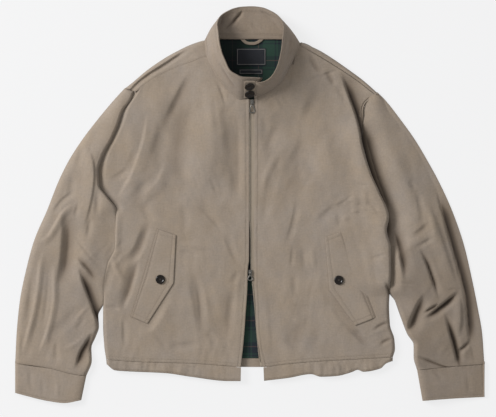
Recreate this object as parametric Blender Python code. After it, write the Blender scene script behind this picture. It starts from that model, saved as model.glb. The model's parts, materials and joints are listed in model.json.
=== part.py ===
# A harrington jacket laid flat on its back, closed at the neck and open below its bottom slider.
# The tables are in millimetres: x runs to the wearer's left, y to the collar, and z up from the
# surface that the jacket lies on. Right and left are the wearer's, so the right side is at -x.
import math

import bmesh
import bpy
from mathutils import Matrix, Vector

MM = 0.001
CLOTH = 1.6  # shell cloth with its inner layer
BAND_CLOTH = 2.0  # hem bands and cuffs
COLLAR_CLOTH = 2.2
BAND_LIFT = 0.034  # share of the collar's height that it stands clear of its seam
COLLAR_SWELL = 2.0  # how far the collar bulges outwards at half height
FLAP_CLOTH = 2.0
FLAP_GAP = 0.55  # between a flap and its front, which bends a little between the flap's points
LINING = 1.2
LABEL = 0.8
TAPE = 1.0
GAP = 0.3  # between pieces at a seam
SEAM_STEP = 0.48  # the same at a slanted seam, measured along y
WRAP_STEP = 0.9  # between the shoulder parts and the fronts, along y
RIM = 2.4  # height of a panel's lower rim, just over the back
RIM_SOFT = 3.3  # the same where the panel slopes down gently to it
HEM_MOUTH = 10.0  # height of the front hem's edge, so that the hem stays open below it
BODY_HEIGHT = 12.5  # top of the fronts over the surface
NECK_FRONT_HEIGHT = 27.5  # collar seam at the zip
NECK_SINK = 0.6  # top of the cloth under the collar's lower edge
NECK_REACH = 80.0  # how far from the collar seam the fronts begin to rise
PUCKER_PITCH = 21.0
PUCKER_DEPTH = 1.5
BUTTON_WIDTH = 19.5
BUTTON_HEIGHT = 3.4
# Half section of a button. Columns: share of its radius, share of its height.
BUTTON_PROFILE = [
    (0, 0),
    (0.82, 0),
    (1, 0.28),
    (1, 0.62),
    (0.88, 1),
    (0.7, 0.94),
    (0.58, 0.6),
    (0, 0.55),
]

# Collar from its right end, round the back of the neck, to its left end.
# Columns: lower edge x, y, z, then upper edge x, y, z.
COLLAR = [
    (-3, 226.5, 25.5, 26, 265, 61),
    (-10, 224, 26, 6, 266.5, 65),
    (-19, 222, 26.6, -15, 267.5, 67.5),
    (-36, 232, 26.5, -29, 273, 69),
    (-50, 246, 26, -42, 282, 69),
    (-64, 262.5, 25.5, -52, 302, 69),
    (-77, 283.5, 25, -59, 320, 67),
    (-87, 304.5, 23.5, -64, 341, 63),
    (-92, 325.5, 20, -66, 360, 55),
    (-93.5, 344, 15, -68, 379, 43),
    (-88, 354, 11, -62, 395, 30),
    (-76, 354, 8, -49, 405, 22),
    (-52, 351.5, 6, -31.5, 413, 16),
    (-21, 351.5, 5.4, -15, 416, 13),
    (6, 352, 5.2, 4, 416.8, 12),
    (34, 351.5, 5.4, 25, 414.5, 13.5),
    (65, 351, 6.5, 43, 407, 17),
    (88, 350, 10, 58, 397, 24),
    (101, 344, 14, 67, 385, 33),
    (103.5, 331, 18, 70, 370, 46),
    (99, 317, 21, 68.5, 351, 57),
    (90, 301, 24, 66, 328, 65),
    (82, 286, 26, 62, 307, 69),
    (72.5, 269, 27, 56, 287, 70),
    (60, 253, 27.5, 46, 270, 70.5),
    (42, 240, 28, 32.5, 259, 70.5),
    (25, 232, 28.5, 20, 255.6, 70.5),
    (12.2, 229, 29.5, 12.6, 258, 71),
]
# The left end of the collar that laps over the right one. Same columns.
COLLAR_TAB = [
    (11.3, 229, 29.6, 11.7, 258.1, 71),
    (2, 226, 31.4, 2, 258.4, 71.8),
    (-8, 223, 32, -8.6, 258.4, 71.6),
    (-12.5, 224.4, 33.4, -12.8, 256, 69.4),
]
# Neck edge of each front, from its shoulder seam to the zip, and of the back from right to left.
NECK_RIGHT = [
    (-89, 311),
    (-87, 304.5),
    (-77, 283.5),
    (-64, 262.5),
    (-50, 246),
    (-36, 232),
    (-19, 221.8),
]
NECK_LEFT = [
    (103.6, 334),
    (99, 317),
    (90, 301),
    (82, 286),
    (72.5, 269),
    (60, 253),
    (42, 240),
    (25, 232),
]
NECK_BACK = [(-92, 342), (-76, 349), (-50, 350.5), (60, 350.5), (88, 348), (99, 341)]

# Sides of the panels. Columns: x, y, height of the side, and the width over which the panel rounds
# down to it. A width of nought leaves the side at the panel's own height.
FRONT_RIGHT_SIDE = [
    (-302, -324, RIM, 8),
    (-306, -296, RIM, 8),
    (-308.5, -250, RIM, 8),
    (-308, -210, RIM, 8),
    (-306, -160, RIM, 9),
    (-299, -122, RIM, 9),
    (-285, -90, RIM, 9),
    (-283, -42, RIM, 10),
    (-280, -11, RIM, 12),
    (-296, 18, RIM_SOFT, 18),
    (-313, 42, RIM_SOFT, 20),
    (-315, 70, RIM_SOFT, 20),
    (-306, 103, RIM_SOFT, 20),
    (-289, 136, RIM_SOFT, 18),
    (-275, 166, RIM, 14),
    (-265, 196, RIM, 12),
    (-246, 224, RIM, 10),
    (-240, 236, RIM, 8),
]
FRONT_LEFT_SIDE = [
    (300, -319, RIM, 8),
    (304.5, -302, RIM, 8),
    (303, -281, RIM, 8),
    (294, -252, RIM, 8),
    (288, -210, RIM, 8),
    (283, -176, RIM, 8),
    (295, -139, RIM, 9),
    (296, -90, RIM, 9),
    (287.5, -53, RIM, 9),
    (292, -26, RIM, 9),
    (272, 27, RIM, 9),
    (254.5, 66, RIM, 10),
    (240, 114, RIM, 11),
    (235, 141, RIM, 14),
    (238, 164, RIM_SOFT, 22),
    (236, 196, RIM_SOFT, 34),
    (240, 212, RIM_SOFT, 34),
    (265, 229, RIM_SOFT, 26),
]
ZIP_RIGHT_EDGE = [
    (-19, -340.5, 0, 0),
    (-17, -321, 0, 0),
    (-14, -294, 0, 0),
    (-10.5, -252, 0, 0),
    (-8.4, -220, 0, 0),
    (-5.6, -178, 0, 0),
    (-4.8, -150, 0, 0),
    (-4.2, -132, 0, 0),
    (-2, -116, 0, 0),
    (-1.4, -54, 0, 0),
    (-1.2, 40, 0, 0),
    (-1.2, 222, 0, 0),
]
ZIP_LEFT_EDGE = [
    (28.2, -340.5, 0, 0),
    (22, -315, 0, 0),
    (17.8, -294, 0, 0),
    (13.8, -262, 0, 0),
    (12.2, -220, 0, 0),
    (10, -178, 0, 0),
    (9, -140, 0, 0),
    (8.6, -54, 0, 0),
    (8.8, 40, 0, 0),
    (9, 227.6, 0, 0),
]
HEM_SEAM_RIGHT = [
    (-302, -324, 0, 0),
    (-231, -329, 0, 0),
    (-126, -332, 0, 0),
    (-42, -338, 0, 0),
    (-19, -340.5, 0, 0),
]
HEM_SEAM_LEFT = [
    (28.2, -340.5, 0, 0),
    (73, -334, 0, 0),
    (147, -327.5, 0, 0),
    (231, -323, 0, 0),
    (300, -319, 0, 0),
]
HEM_EDGE_RIGHT = [
    (-301, -334, HEM_MOUTH, 5),
    (-283, -347, HEM_MOUTH, 6),
    (-259, -349, HEM_MOUTH, 6),
    (-176, -353, HEM_MOUTH, 6),
    (-124, -360.5, HEM_MOUTH, 6),
    (-44, -369.5, HEM_MOUTH, 6),
    (-19.6, -369.5, HEM_MOUTH, 5),
]
HEM_EDGE_LEFT = [
    (29.6, -369, HEM_MOUTH, 5),
    (80, -363, HEM_MOUTH, 6),
    (128, -355, HEM_MOUTH, 6),
    (149, -360.5, HEM_MOUTH, 6),
    (181, -359, HEM_MOUTH, 6),
    (213, -351, HEM_MOUTH, 6),
    (226, -346, HEM_MOUTH, 6),
    (238, -350, HEM_MOUTH, 6),
    (274, -343, HEM_MOUTH, 6),
    (285, -333, HEM_MOUTH, 6),
    (299.5, -327, HEM_MOUTH, 5),
]
SHOULDER_SEAM_RIGHT = [(-240, 236), (-189, 270), (-147, 290), (-116, 301.5), (-89, 311)]
SHOULDER_SEAM_LEFT = [(265, 229), (222, 262.5), (168, 297.5), (128, 321), (103.6, 334)]
SHOULDER_FOLD_RIGHT = [
    (-262, 245, 1, 8),
    (-248, 256, 1, 9),
    (-216, 283, 1, 10),
    (-178, 309, 1, 10),
    (-149, 325, 1, 10),
    (-126, 336, 1, 9),
    (-101, 344.5, 1, 8),
]
SHOULDER_FOLD_LEFT = [
    (270, 233, 1, 5),
    (237, 262, 1, 5),
    (208, 283.5, 1, 5),
    (172, 308.5, 1, 5),
    (145, 325, 1, 5),
    (107.5, 342, 1, 5),
]

# Sleeves, from the shoulder to the cuff seam. Same columns.
SLEEVE_RIGHT_OUTER = [
    (-265, 241.5, RIM_SOFT, 7),
    (-286, 220, RIM, 10),
    (-321, 178, RIM, 14),
    (-353, 136, RIM, 15),
    (-380, 94, RIM, 15),
    (-401, 52, RIM, 15),
    (-426, -11, RIM, 15),
    (-453, -74, RIM, 14),
    (-470, -136, RIM, 13),
    (-483, -200, RIM, 12),
    (-490, -270, RIM, 10),
    (-493, -332, RIM, 8),
]
SLEEVE_RIGHT_INNER = [
    (-246, 234, RIM_SOFT, 7),
    (-249, 222, RIM, 10),
    (-267, 196, RIM, 12),
    (-277.5, 166, RIM, 14),
    (-291, 136, RIM, 14),
    (-308.5, 103, RIM, 14),
    (-317.5, 70, RIM, 14),
    (-315.5, 41, RIM, 14),
    (-298.5, 16.5, RIM, 14),
    (-283, -11, RIM, 14),
    (-285.5, -42, RIM, 14),
    (-287.5, -90, RIM, 14),
    (-302, -122, RIM, 12),
    (-309, -160, RIM, 12),
    (-311, -205, RIM, 11),
    (-319, -232, RIM, 10),
    (-317, -255, RIM, 9),
    (-324, -277, RIM, 9),
    (-333, -300, RIM, 9),
    (-332, -326, RIM, 8),
    (-343.5, -358.5, RIM, 7),
]
SLEEVE_LEFT_OUTER = [
    (270.6, 232, RIM_SOFT, 6),
    (285, 219, RIM, 10),
    (317, 178, RIM, 14),
    (347, 136, RIM, 15),
    (372, 94, RIM, 15),
    (395, 52, RIM, 15),
    (424, -11, RIM, 15),
    (449, -83, RIM, 14),
    (464, -146, RIM, 13),
    (479, -220, RIM, 12),
    (487.5, -270, RIM, 10),
    (492, -334, RIM, 8),
]
SLEEVE_LEFT_INNER = [
    (266, 228.2, RIM_SOFT, 8),
    (242, 211.8, RIM_SOFT, 16),
    (237.6, 196, RIM_SOFT, 26),
    (239.6, 164, RIM_SOFT, 36),
    (236.8, 141, RIM_SOFT, 44),
    (241.8, 114, RIM_SOFT, 44),
    (258, 66, RIM_SOFT, 40),
    (276, 27, RIM_SOFT, 34),
    (296, -26, RIM_SOFT, 26),
    (292, -53, RIM_SOFT, 22),
    (299, -90, RIM, 15),
    (298, -139, RIM, 12),
    (297, -180, RIM, 10),
    (304.5, -202, RIM, 9),
    (317.5, -239, RIM, 9),
    (330, -271, RIM, 9),
    (343.5, -294, RIM, 9),
    (343.5, -319, RIM, 8),
    (350.5, -346, RIM, 7),
]
CUFF_SEAM_RIGHT = [(-493, -332, 0, 0), (-423, -342, 0, 0), (-370, -355, 0, 0), (-343.5, -358.5, 0, 0)]
CUFF_SEAM_LEFT = [(350.5, -346, 0, 0), (385, -342.5, 0, 0), (420, -339, 0, 0), (492, -334, 0, 0)]
# Height of each top sleeve. Columns: share of the way from the shoulder to the cuff, height.
SLEEVE_HEIGHTS = [(0, 9), (0.15, 12), (0.35, 14.5), (0.6, 15.5), (0.85, 13.5), (1, 11)]

CUFF_EDGE_RIGHT = [(-493, -394.5), (-420, -412), (-389.5, -415.6), (-354, -409.5)]
CUFF_EDGE_LEFT = [(362, -411), (400, -408), (430, -406), (492, -403)]
CUFF_HEIGHT = 10.5
BACK_HEM_SEAM = [(-303, -312), (0, -313), (303, -306)]
BACK_HEM_EDGE = [(-296, -331), (-280, -338), (-60, -340), (60, -340), (280, -331), (296, -320)]
LINING_LOW = -325
LINING_INSET = 8.0
LINING_TOP = [
    (228, 240),
    (120, 308),
    (92, 338),
    (62, 349),
    (-50, 349),
    (-84, 338),
    (-118, 312),
    (-222, 246),
]

# Zip: the edge of each tape, from the hem up. The left tape shows beside the left front.
TAPE_RIGHT_EDGE = [
    (-19, -339),
    (-9, -220),
    (-6, -178),
    (-4.6, -134),
    (-2.2, -110),
    (-1.7, -56),
    (-0.2, -34),
    (-0.2, 221),
]
TAPE_LEFT_EDGE = [
    (22, -339),
    (19, -321),
    (14, -273),
    (10, -220),
    (6, -178),
    (3.4, -152),
    (1.9, -130),
    (1.5, -60),
    (0.2, -34),
    (0.2, 221),
]
TAPE_WIDTH = 14.0
TAPE_SINK = 2.3  # top of a tape under the top of the cloth
SLIDER_WIDTH = 7.2
SLIDER_LENGTH = 10.0
SLIDER_HEIGHT = 2.4
SLIDER_BEVEL = 0.35
# Outline of a slider. Columns: share of its half width, share of its half length.
SLIDER_OUTLINE = [(-0.62, 1), (0.62, 1), (1, 0.35), (1, -1), (-1, -1), (-1, 0.35)]
POST_SINK = 0.3
BRIDGE_THICK = 1.1
BRIDGE_ROOM = 2.5  # clear height under the bridge that the pull turns in
PULL_THICK = 1.2
PULL_EYE = 1.5  # width of the bar that runs under the bridge
PULL_ARM = 3.4  # half width of the end that holds the bar
PULL_NECK = 2.0  # half width of the narrowest place
PULL_DROP = 5.4  # half width of the free end
PULL_CLEAR = 1.3  # height of a lying pull's free end over the tape
SLIDER_TOP = (4.4, 216.5)
SLIDER_BOTTOM = (0.6, -141)
PULL_TOP_LENGTH = 25.0
PULL_BOTTOM_LENGTH = 19.0

HANGER_PATH = [
    (-17.5, 349.6),
    (-13.5, 345),
    (-7, 340.5),
    (0, 339),
    (8, 339),
    (15, 341),
    (22, 345.5),
    (26.5, 349.6),
]
HANGER_WIDTH = 6.2
HANGER_CLOTH = 1.5
HANGER_HEIGHT = 4.15
HANGER_RISE = 1.6
HANGER_END = 350.2  # where the loop is sewn in
NECK_LABEL = [(-28.5, 293), (33.5, 293), (33.5, 329), (-28.5, 329)]
SIZE_LABEL = [(-23, 274), (27, 274), (27, 285.5), (-23, 285.5)]

SHOULDER_FOLDS = [(-122, 331, -195, 283, -250, 243, 8, 8, -4.0)]

# Largest folds. Columns: start x, y, middle x, y, end x, y, half width to the left of the way that
# it runs, half width to its right, and height, which is below nought in a trough.
FRONT_FOLDS = [
    (-130, 262, -170, 191, -206, 115, 22, 16, -3.6),
    (-113, 315, -116, 285, -118, 250, 13, 13, 1.6),
    (-62, 237, -37, 141, -29, 15, 16, 18, -2.6),
    (-115, 2, -70, -40, -17, -122, 13, 18, -2.2),
    (-117, -122, -102, -241, -94, -277, 14, 14, -2.6),
    (-34, -149, -38, -202, -42, -256, 13, 13, -1.8),
    (-215, -30, -232, -90, -264, -120, 13, 13, -3.0),
    (-232, -115, -246, -160, -265, -218, 13, 15, -3.4),
    (-284, -85, -279, -132, -263, -165, 14, 12, 2.6),
    (-229, 160, -236, 108, -276, -8, 24, 13, 3.4),
    (201, 262, 216, 225, 233, 150, 12, 34, 3.6),
    (103, 256, 120, 257, 150, 272, 12, 12, -2.0),
    (141, 241, 100, 115, 44, 27, 17, 17, -2.2),
    (70, 229, 64, 166, 42, 65, 15, 15, -2.0),
    (93, -42, 84, -69, 76, -128, 13, 13, -1.6),
    (144, -260, 132, -290, 120, -317, 15, 15, -2.0),
    (165, -190, 206, -262, 239, -292, 14, 14, -2.2),
    (53, -2, 36, -23, 24, -44, 12, 12, -1.6),
]
SLEEVE_FOLDS = [
    (-430, -97, -453, -200, -478, -325, 14, 14, 2.8),
    (-411, -112, -416, -220, -447, -330, 15, 15, 3.2),
    (-385, -23, -390, -94, -395, -160, 19, 19, -3.6),
    (-366, -62, -340, -99, -312, -126, 13, 13, -2.8),
    (-361, -120, -340, -190, -326, -232, 13, 14, -5.0),
    (-449, -74, -424, -40, -399, -10, 15, 15, 2.4),
    (400, -2, 451, -178, 471, -332, 13, 15, -4.4),
    (409, -233, 424, -288, 440, -338, 13, 14, -3.2),
    (440, -183, 403, -212, 368, -239, 13, 13, -1.8),
    (375, -46, 355, -59, 330, -74, 13, 13, -1.8),
    (368, -192, 351, -231, 334, -268, 13, 13, -2.0),
    (362, -112, 378, -157, 397, -202, 14, 14, -2.0),
    (300, -30, 310, -84, 323, -151, 15, 15, -3.6),
]
# Pocket flaps by their corners: the sewn edge from top to bottom, then the free edge likewise.
FLAP_RIGHT = {"sewn": [(-196, -49), (-251, -234)], "free": [(-155, -63), (-160, -164), (-215, -249)]}
FLAP_LEFT = {"sewn": [(196, -53), (264, -236)], "free": [(157, -68), (166, -178), (221, -253)]}
FLAP_BUTTON_RIGHT = (-188, -156)
FLAP_BUTTON_LEFT = (186.5, -157.5)

# Widths and lengths that the cuts of each panel are spaced by, with the rounded part of its sides.
FRONT_WIDTH = 285
SIDE_CURL = 9
HEM_LENGTH = 280
HEM_DEPTH = 30
HEM_CURL = 8
HEM_EDGE_CURL = 6
SLEEVE_WIDTH = 130
SLEEVE_LENGTH = 620
SLEEVE_CURL = 13
HEAD_CURL = 8
SLEEVE_CROWN = 0.14  # how much lower a sleeve's sides start, as a share of its height
CUFF_LENGTH = 140
CUFF_CURL = 9.0
CUFF_SHARES = (0.008, 0.34, 0.67, 1.0)  # rings of a cuff, from its seam to its edge
FOLD_INSET = 1.0  # how far the flat back stays inside the shoulder fold
SHOULDER_ROW = 6.0
TAB_BUTTON_SHARE = 0.52

FRONT_COLUMNS = 19
FRONT_ROWS = 23
SLEEVE_COLUMNS = 9
SLEEVE_ROWS = 22
HEM_COLUMNS = 26
HEM_ROWS = 2
CUFF_COLUMNS = 6
SHOULDER_COLUMNS = 16
SHOULDER_ROWS_RIGHT = 6
SHOULDER_ROWS_LEFT = 2
FLAP_ROWS = 9
TAB_STATIONS = 7
TAPE_ROWS = 26
COLLAR_STATIONS = 42
BUTTON_STEPS = 16
CURL_STEPS = (0.0, 0.1, 0.42)  # where a rounded side is cut, as shares of its width

BEIGE = (0.40, 0.33, 0.26, 1.0)
BEIGE_INSIDE = (0.36, 0.30, 0.24, 1.0)
TARTAN_GREEN = (0.02, 0.045, 0.035, 1.0)
NAVY = (0.012, 0.015, 0.025, 1.0)
HORN = (0.02, 0.012, 0.008, 1.0)
OLD_SILVER = (0.35, 0.33, 0.30, 1.0)
TAPE_BEIGE = (0.30, 0.26, 0.20, 1.0)


def material(name, colour, roughness, metallic=0.0):
    """One plain finish, made once for each name."""
    found = bpy.data.materials.get(name)
    if found:
        return found
    made = bpy.data.materials.new(name)
    made.use_nodes = True
    shader = made.node_tree.nodes["Principled BSDF"]
    shader.inputs["Base Color"].default_value = colour
    shader.inputs["Roughness"].default_value = roughness
    shader.inputs["Metallic"].default_value = metallic
    made.diffuse_color = colour
    return made


def add_object(name, bm, finish):
    """Put a bmesh in millimetres into the scene as one object in metres."""
    bmesh.ops.scale(bm, vec=(MM, MM, MM), verts=bm.verts)
    mesh = bpy.data.meshes.new(name)
    bm.to_mesh(mesh)
    bm.free()
    mesh.materials.append(finish)
    placed = bpy.data.objects.new(name, mesh)
    bpy.context.scene.collection.objects.link(placed)
    return placed


def curve(rows):
    """A smooth curve through rows of numbers, read by the share of its length in x and y."""
    steps = [0.0]
    for before, after in zip(rows, rows[1:]):
        steps.append(steps[-1] + math.dist(before[:2], after[:2]))
    slopes = [
        [(b - a) / (steps[i + 1] - steps[i]) for a, b in zip(rows[i], rows[i + 1])]
        for i in range(len(rows) - 1)
    ]
    tangents = [slopes[0]]
    for before, after in zip(slopes, slopes[1:]):
        tangents.append([2 * a * b / (a + b) if a * b > 0 else 0.0 for a, b in zip(before, after)])
    tangents.append(slopes[-1])

    def read(share):
        along = min(max(share, 0.0), 1.0) * steps[-1]
        i = 0
        while i < len(rows) - 2 and steps[i + 1] < along:
            i += 1
        length = steps[i + 1] - steps[i]
        q = (along - steps[i]) / length
        start = (1 + 2 * q) * (1 - q) ** 2
        leave = q * (1 - q) ** 2 * length
        arrive = q * q * (q - 1) * length
        return [
            start * a + leave * ta + (1 - start) * b + arrive * tb
            for a, b, ta, tb in zip(rows[i], rows[i + 1], tangents[i], tangents[i + 1])
        ]

    return read


def smooth(share):
    share = min(max(share, 0.0), 1.0)
    return share * share * (3 - 2 * share)


def nearest(x, y, line):
    """Distance to a line of points, the share of it that is passed, and which side the point is on."""
    lengths = [math.dist(a[:2], b[:2]) for a, b in zip(line, line[1:])]
    best = (1e9, 0.0, 1.0)
    passed = 0.0
    for a, b, length in zip(line, line[1:], lengths):
        dx, dy = (b[0] - a[0]) / length, (b[1] - a[1]) / length
        along = min(max((x - a[0]) * dx + (y - a[1]) * dy, 0.0), length)
        away = math.dist((x, y), (a[0] + along * dx, a[1] + along * dy))
        side = 1.0 if dx * (y - a[1]) - dy * (x - a[0]) > 0 else -1.0
        if away < best[0]:
            best = (away, (passed + along) / sum(lengths), side)
        passed += length
    return best


def fold_height(x, y, folds):
    """Sum of the folds at a point: each is a soft bump across its line that fades at both ends."""
    total = 0.0
    for x0, y0, x1, y1, x2, y2, wide_left, wide_right, height in folds:
        reach = max(wide_left, wide_right)
        if min(x0, x1, x2) - reach > x or max(x0, x1, x2) + reach < x:
            continue
        away, share, side = nearest(x, y, [(x0, y0), (x1, y1), (x2, y2)])
        wide = wide_left if side > 0 else wide_right
        if away < wide:
            fade = smooth(0.2 + 4 * share) * smooth(0.2 + 4 * (1 - share))
            total += height * fade * (1 - (away / wide) ** 2) ** 2
    return total


def neck_height(x, y):
    """Height of the cloth over the body, which rises to the collar seam."""
    seam = [(ZIP_RIGHT_EDGE[-1][0], ZIP_RIGHT_EDGE[-1][1], NECK_FRONT_HEIGHT)]
    seam += [row[:3] for row in COLLAR[2:-1]]
    seam.append((ZIP_LEFT_EDGE[-1][0], ZIP_LEFT_EDGE[-1][1], NECK_FRONT_HEIGHT))
    away, share, _ = nearest(x, y, seam)
    if away > NECK_REACH:
        return BODY_HEIGHT
    height = curve(seam)(share)[2] - NECK_SINK
    return BODY_HEIGHT + (height - BODY_HEIGHT) * (1 - smooth(away / NECK_REACH))


def inside_share(x, y, corners):
    """How far a point is from a flap, from nought on it to one well clear of it."""
    ring = corners + corners[:1]
    away = nearest(x, y, ring)[0]
    hits = 0
    for a, b in zip(ring, ring[1:]):
        if (a[1] > y) != (b[1] > y) and x < a[0] + (y - a[1]) / (b[1] - a[1]) * (b[0] - a[0]):
            hits += 1
    return 0.0 if hits % 2 else smooth((away - 6) / 14)


def flap_corners(flap):
    return flap["sewn"] + flap["free"][::-1]


def body_height(x, y):
    """Top of the fronts and of the shoulder parts: calm by the zip and under the flaps."""
    half_gap = 6 + max(0.0, -130 - y) * 0.094
    calm = smooth((abs(x - 4) - half_gap - 8) / 16)
    calm *= inside_share(x, y, flap_corners(FLAP_RIGHT)) * inside_share(x, y, flap_corners(FLAP_LEFT))
    return neck_height(x, y) + calm * fold_height(x, y, FRONT_FOLDS)


def pucker(x, y):
    """Gathers of the hem band, which grow from its seam down to its edge on the outer half."""
    depth = smooth((-328 - y) / 16) * smooth((abs(x) - 95) / 60)
    return PUCKER_DEPTH * depth * math.sin(2 * math.pi * x / PUCKER_PITCH)


def hem_height(x, y):
    return body_height(x, y) + pucker(x, y)


def cuts(count, length, first_curl=0.0, last_curl=0.0):
    """Shares at which a side is cut, with closer cuts where a panel rounds down at either end."""
    first = [step * first_curl / length for step in CURL_STEPS] if first_curl else [0.0]
    last = [1 - step * last_curl / length for step in CURL_STEPS] if last_curl else [1.0]
    start, end = first_curl / length, 1 - last_curl / length
    if first_curl:
        first.append(start)
    if last_curl:
        last.append(end)
    inner = [start + (end - start) * i / count for i in range(1, count)]
    return first + inner + last[::-1]


def rounding(away, width):
    """Share of the drop to a rounded side: one on the side and nought beyond its width."""
    if width <= 0 or away >= width:
        return 0.0
    return 1 - math.sqrt(max(0.0, 1 - (1 - away / width) ** 2))


def panel(bottom, top, left, right, height, across, along):
    """Points of a panel stretched between four sides that round down, as rows from the bottom up."""
    sides = [curve(rows) for rows in (bottom, top, left, right)]
    rows = []
    for v in along:
        row = []
        for u in across:
            low, high, start, end = sides[0](u), sides[1](u), sides[2](v), sides[3](v)
            corners = sides[0](0), sides[0](1), sides[1](0), sides[1](1)
            x, y = (
                low[k] * (1 - v) + high[k] * v + start[k] * (1 - u) + end[k] * u
                - (corners[0][k] * (1 - u) + corners[1][k] * u) * (1 - v)
                - (corners[2][k] * (1 - u) + corners[3][k] * u) * v
                for k in (0, 1)
            )
            width, length = math.dist(start[:2], end[:2]), math.dist(low[:2], high[:2])
            aways = (v * length, (1 - v) * length, u * width, (1 - u) * width)
            ends = (low, high, start, end)
            rims = [(rounding(away, side[3]), side[2]) for away, side in zip(aways, ends)]
            flat = math.prod(1 - near for near, _ in rims)
            total = sum(near for near, _ in rims)
            rim = sum(near * z for near, z in rims) / total if total > 0 else 0.0
            row.append((x, y, height(x, y, u, v) * flat + rim * (1 - flat)))
        rows.append(row)
    return rows


def grid_mesh(rows):
    """A grid whose points are moved to the given rows."""
    bm = bmesh.new()
    bmesh.ops.create_grid(bm, x_segments=len(rows[0]) - 1, y_segments=len(rows) - 1, size=1)
    bm.verts.ensure_lookup_table()
    for vert, point in zip(bm.verts, [point for row in rows for point in row]):
        vert.co = point
    return bm


def sheet(name, rows, thickness, finish, offset=-1.0):
    """A wall of even thickness on rows of points; the points are its upper side unless offset."""
    placed = add_object(name, grid_mesh(rows), finish)
    placed.data.shade_smooth()
    add_wall(placed, thickness, offset)
    return placed


def add_wall(placed, thickness, offset):
    wall = placed.modifiers.new("wall", "SOLIDIFY")
    wall.thickness = thickness * MM
    wall.offset = offset


def slab(name, outline, bottom, thickness, finish):
    """A flat piece: its outline filled and extruded."""
    bm = bmesh.new()
    verts = [bm.verts.new((x, y, bottom)) for x, y in outline]
    raise_face(bm, bm.faces.new(verts), thickness)
    bmesh.ops.triangulate(bm, faces=bm.faces)
    return add_object(name, bm, finish)


def raise_face(bm, face, thickness):
    """Turn a flat face into a closed plate."""
    raised = bmesh.ops.extrude_face_region(bm, geom=[face])["geom"]
    tops = [item for item in raised if isinstance(item, bmesh.types.BMVert)]
    bmesh.ops.translate(bm, vec=(0, 0, thickness), verts=tops)
    bmesh.ops.recalc_face_normals(bm, faces=bm.faces)


def sampled(rows, count, first=0.0, last=1.0):
    """Plain points read from a smooth curve through rows."""
    read = curve([row[:2] for row in rows])
    return [tuple(read(first + (last - first) * i / count)) for i in range(count + 1)]


def flat_sides(rows):
    return [(x, y, 0, 0) for x, y in rows]


def cuts_to_neck(count):
    """Shares of the way up, closer together towards the neck, where the cloth rises."""
    return [1 - (1 - i / count) ** 1.25 for i in range(count + 1)]


def snap(shares, share):
    """Move the nearest cut onto a corner, so that the corner stays crisp."""
    nearest_cut = min(range(1, len(shares) - 1), key=lambda i: abs(shares[i] - share))
    return shares[:nearest_cut] + [share] + shares[nearest_cut + 1:]


def corner_share(rows, corner):
    """Share of the length of a line of rows at which one of its points lies."""
    lengths = [math.dist(a[:2], b[:2]) for a, b in zip(rows, rows[1:])]
    return sum(lengths[:corner]) / sum(lengths)


def make_front(name, side, zip_edge, hem_seam, seam, neck, finish):
    """A front: its curved side seam, the straight edge by the zip, the hem seam and the top."""
    across = cuts(FRONT_COLUMNS, FRONT_WIDTH, SIDE_CURL)
    along = cuts_to_neck(FRONT_ROWS)
    top = flat_sides(seam + neck[1:] + [zip_edge[-1][:2]])
    corner = len(seam) - 1
    if side[0][0] > 0:
        across = [1 - u for u in reversed(across)]
        top = top[::-1]
        corner = len(top) - len(seam)
        left, right = zip_edge, side
    else:
        left, right = side, zip_edge
    across = snap(across, corner_share(top, corner))
    rows = panel(hem_seam, top, left, right, lambda x, y, u, v: body_height(x, y), across, along)
    return sheet(name, rows, CLOTH, finish)


def make_hem(name, seam, edge, finish):
    """A hem band on the front, puckered where its elastic draws it in."""
    upper = [(x, y - SEAM_STEP, 0, 0) for x, y, _, _ in seam]
    curls = (HEM_CURL, 0) if seam[0][0] < 0 else (0, HEM_CURL)
    ends = []
    for i, curl in (0, curls[0]), (-1, curls[1]):
        ends.append([(*row[i][:2], RIM, curl) for row in (edge, upper)])
    across = cuts(HEM_COLUMNS, HEM_LENGTH, *curls)
    along = cuts(HEM_ROWS, HEM_DEPTH, HEM_EDGE_CURL)
    rows = panel(edge, upper, *ends, lambda x, y, u, v: hem_height(x, y), across, along)
    return sheet(name, rows, BAND_CLOTH, finish)


def make_sleeve(name, outer, inner, cuff_seam, finish):
    """Top sleeve rounded over a flat under sleeve."""
    outer, inner = outer[::-1], inner[::-1]
    left, right = (outer, inner) if name == "right" else (inner, outer)
    head = [left[-1], right[-1]]
    across = cuts(SLEEVE_COLUMNS, SLEEVE_WIDTH, SLEEVE_CURL, SLEEVE_CURL)

    def height(x, y, u, v):
        crown = 1 - SLEEVE_CROWN * (1 - math.sin(math.pi * u))
        return sleeve_height(1 - v) * crown + fold_height(x, y, SLEEVE_FOLDS) * smooth(v * 9 + 0.3)

    rows = panel(
        cuff_seam, head, left, right, height, across, cuts(SLEEVE_ROWS, SLEEVE_LENGTH, 0, HEAD_CURL),
    )
    sheet("top_sleeve_" + name, rows, CLOTH, finish)
    outline = sampled(left, 26) + sampled(right[::-1], 26) + sampled(cuff_seam[::-1], 4)[1:-1]
    slab("under_sleeve_" + name, outline, 0, CLOTH, finish)


def sleeve_height(share):
    """Height read from the table by the share of the way to the cuff."""
    for (a, low), (b, high) in zip(SLEEVE_HEIGHTS, SLEEVE_HEIGHTS[1:]):
        if share <= b:
            break
    return low + (high - low) * smooth((share - a) / (b - a))


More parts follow.
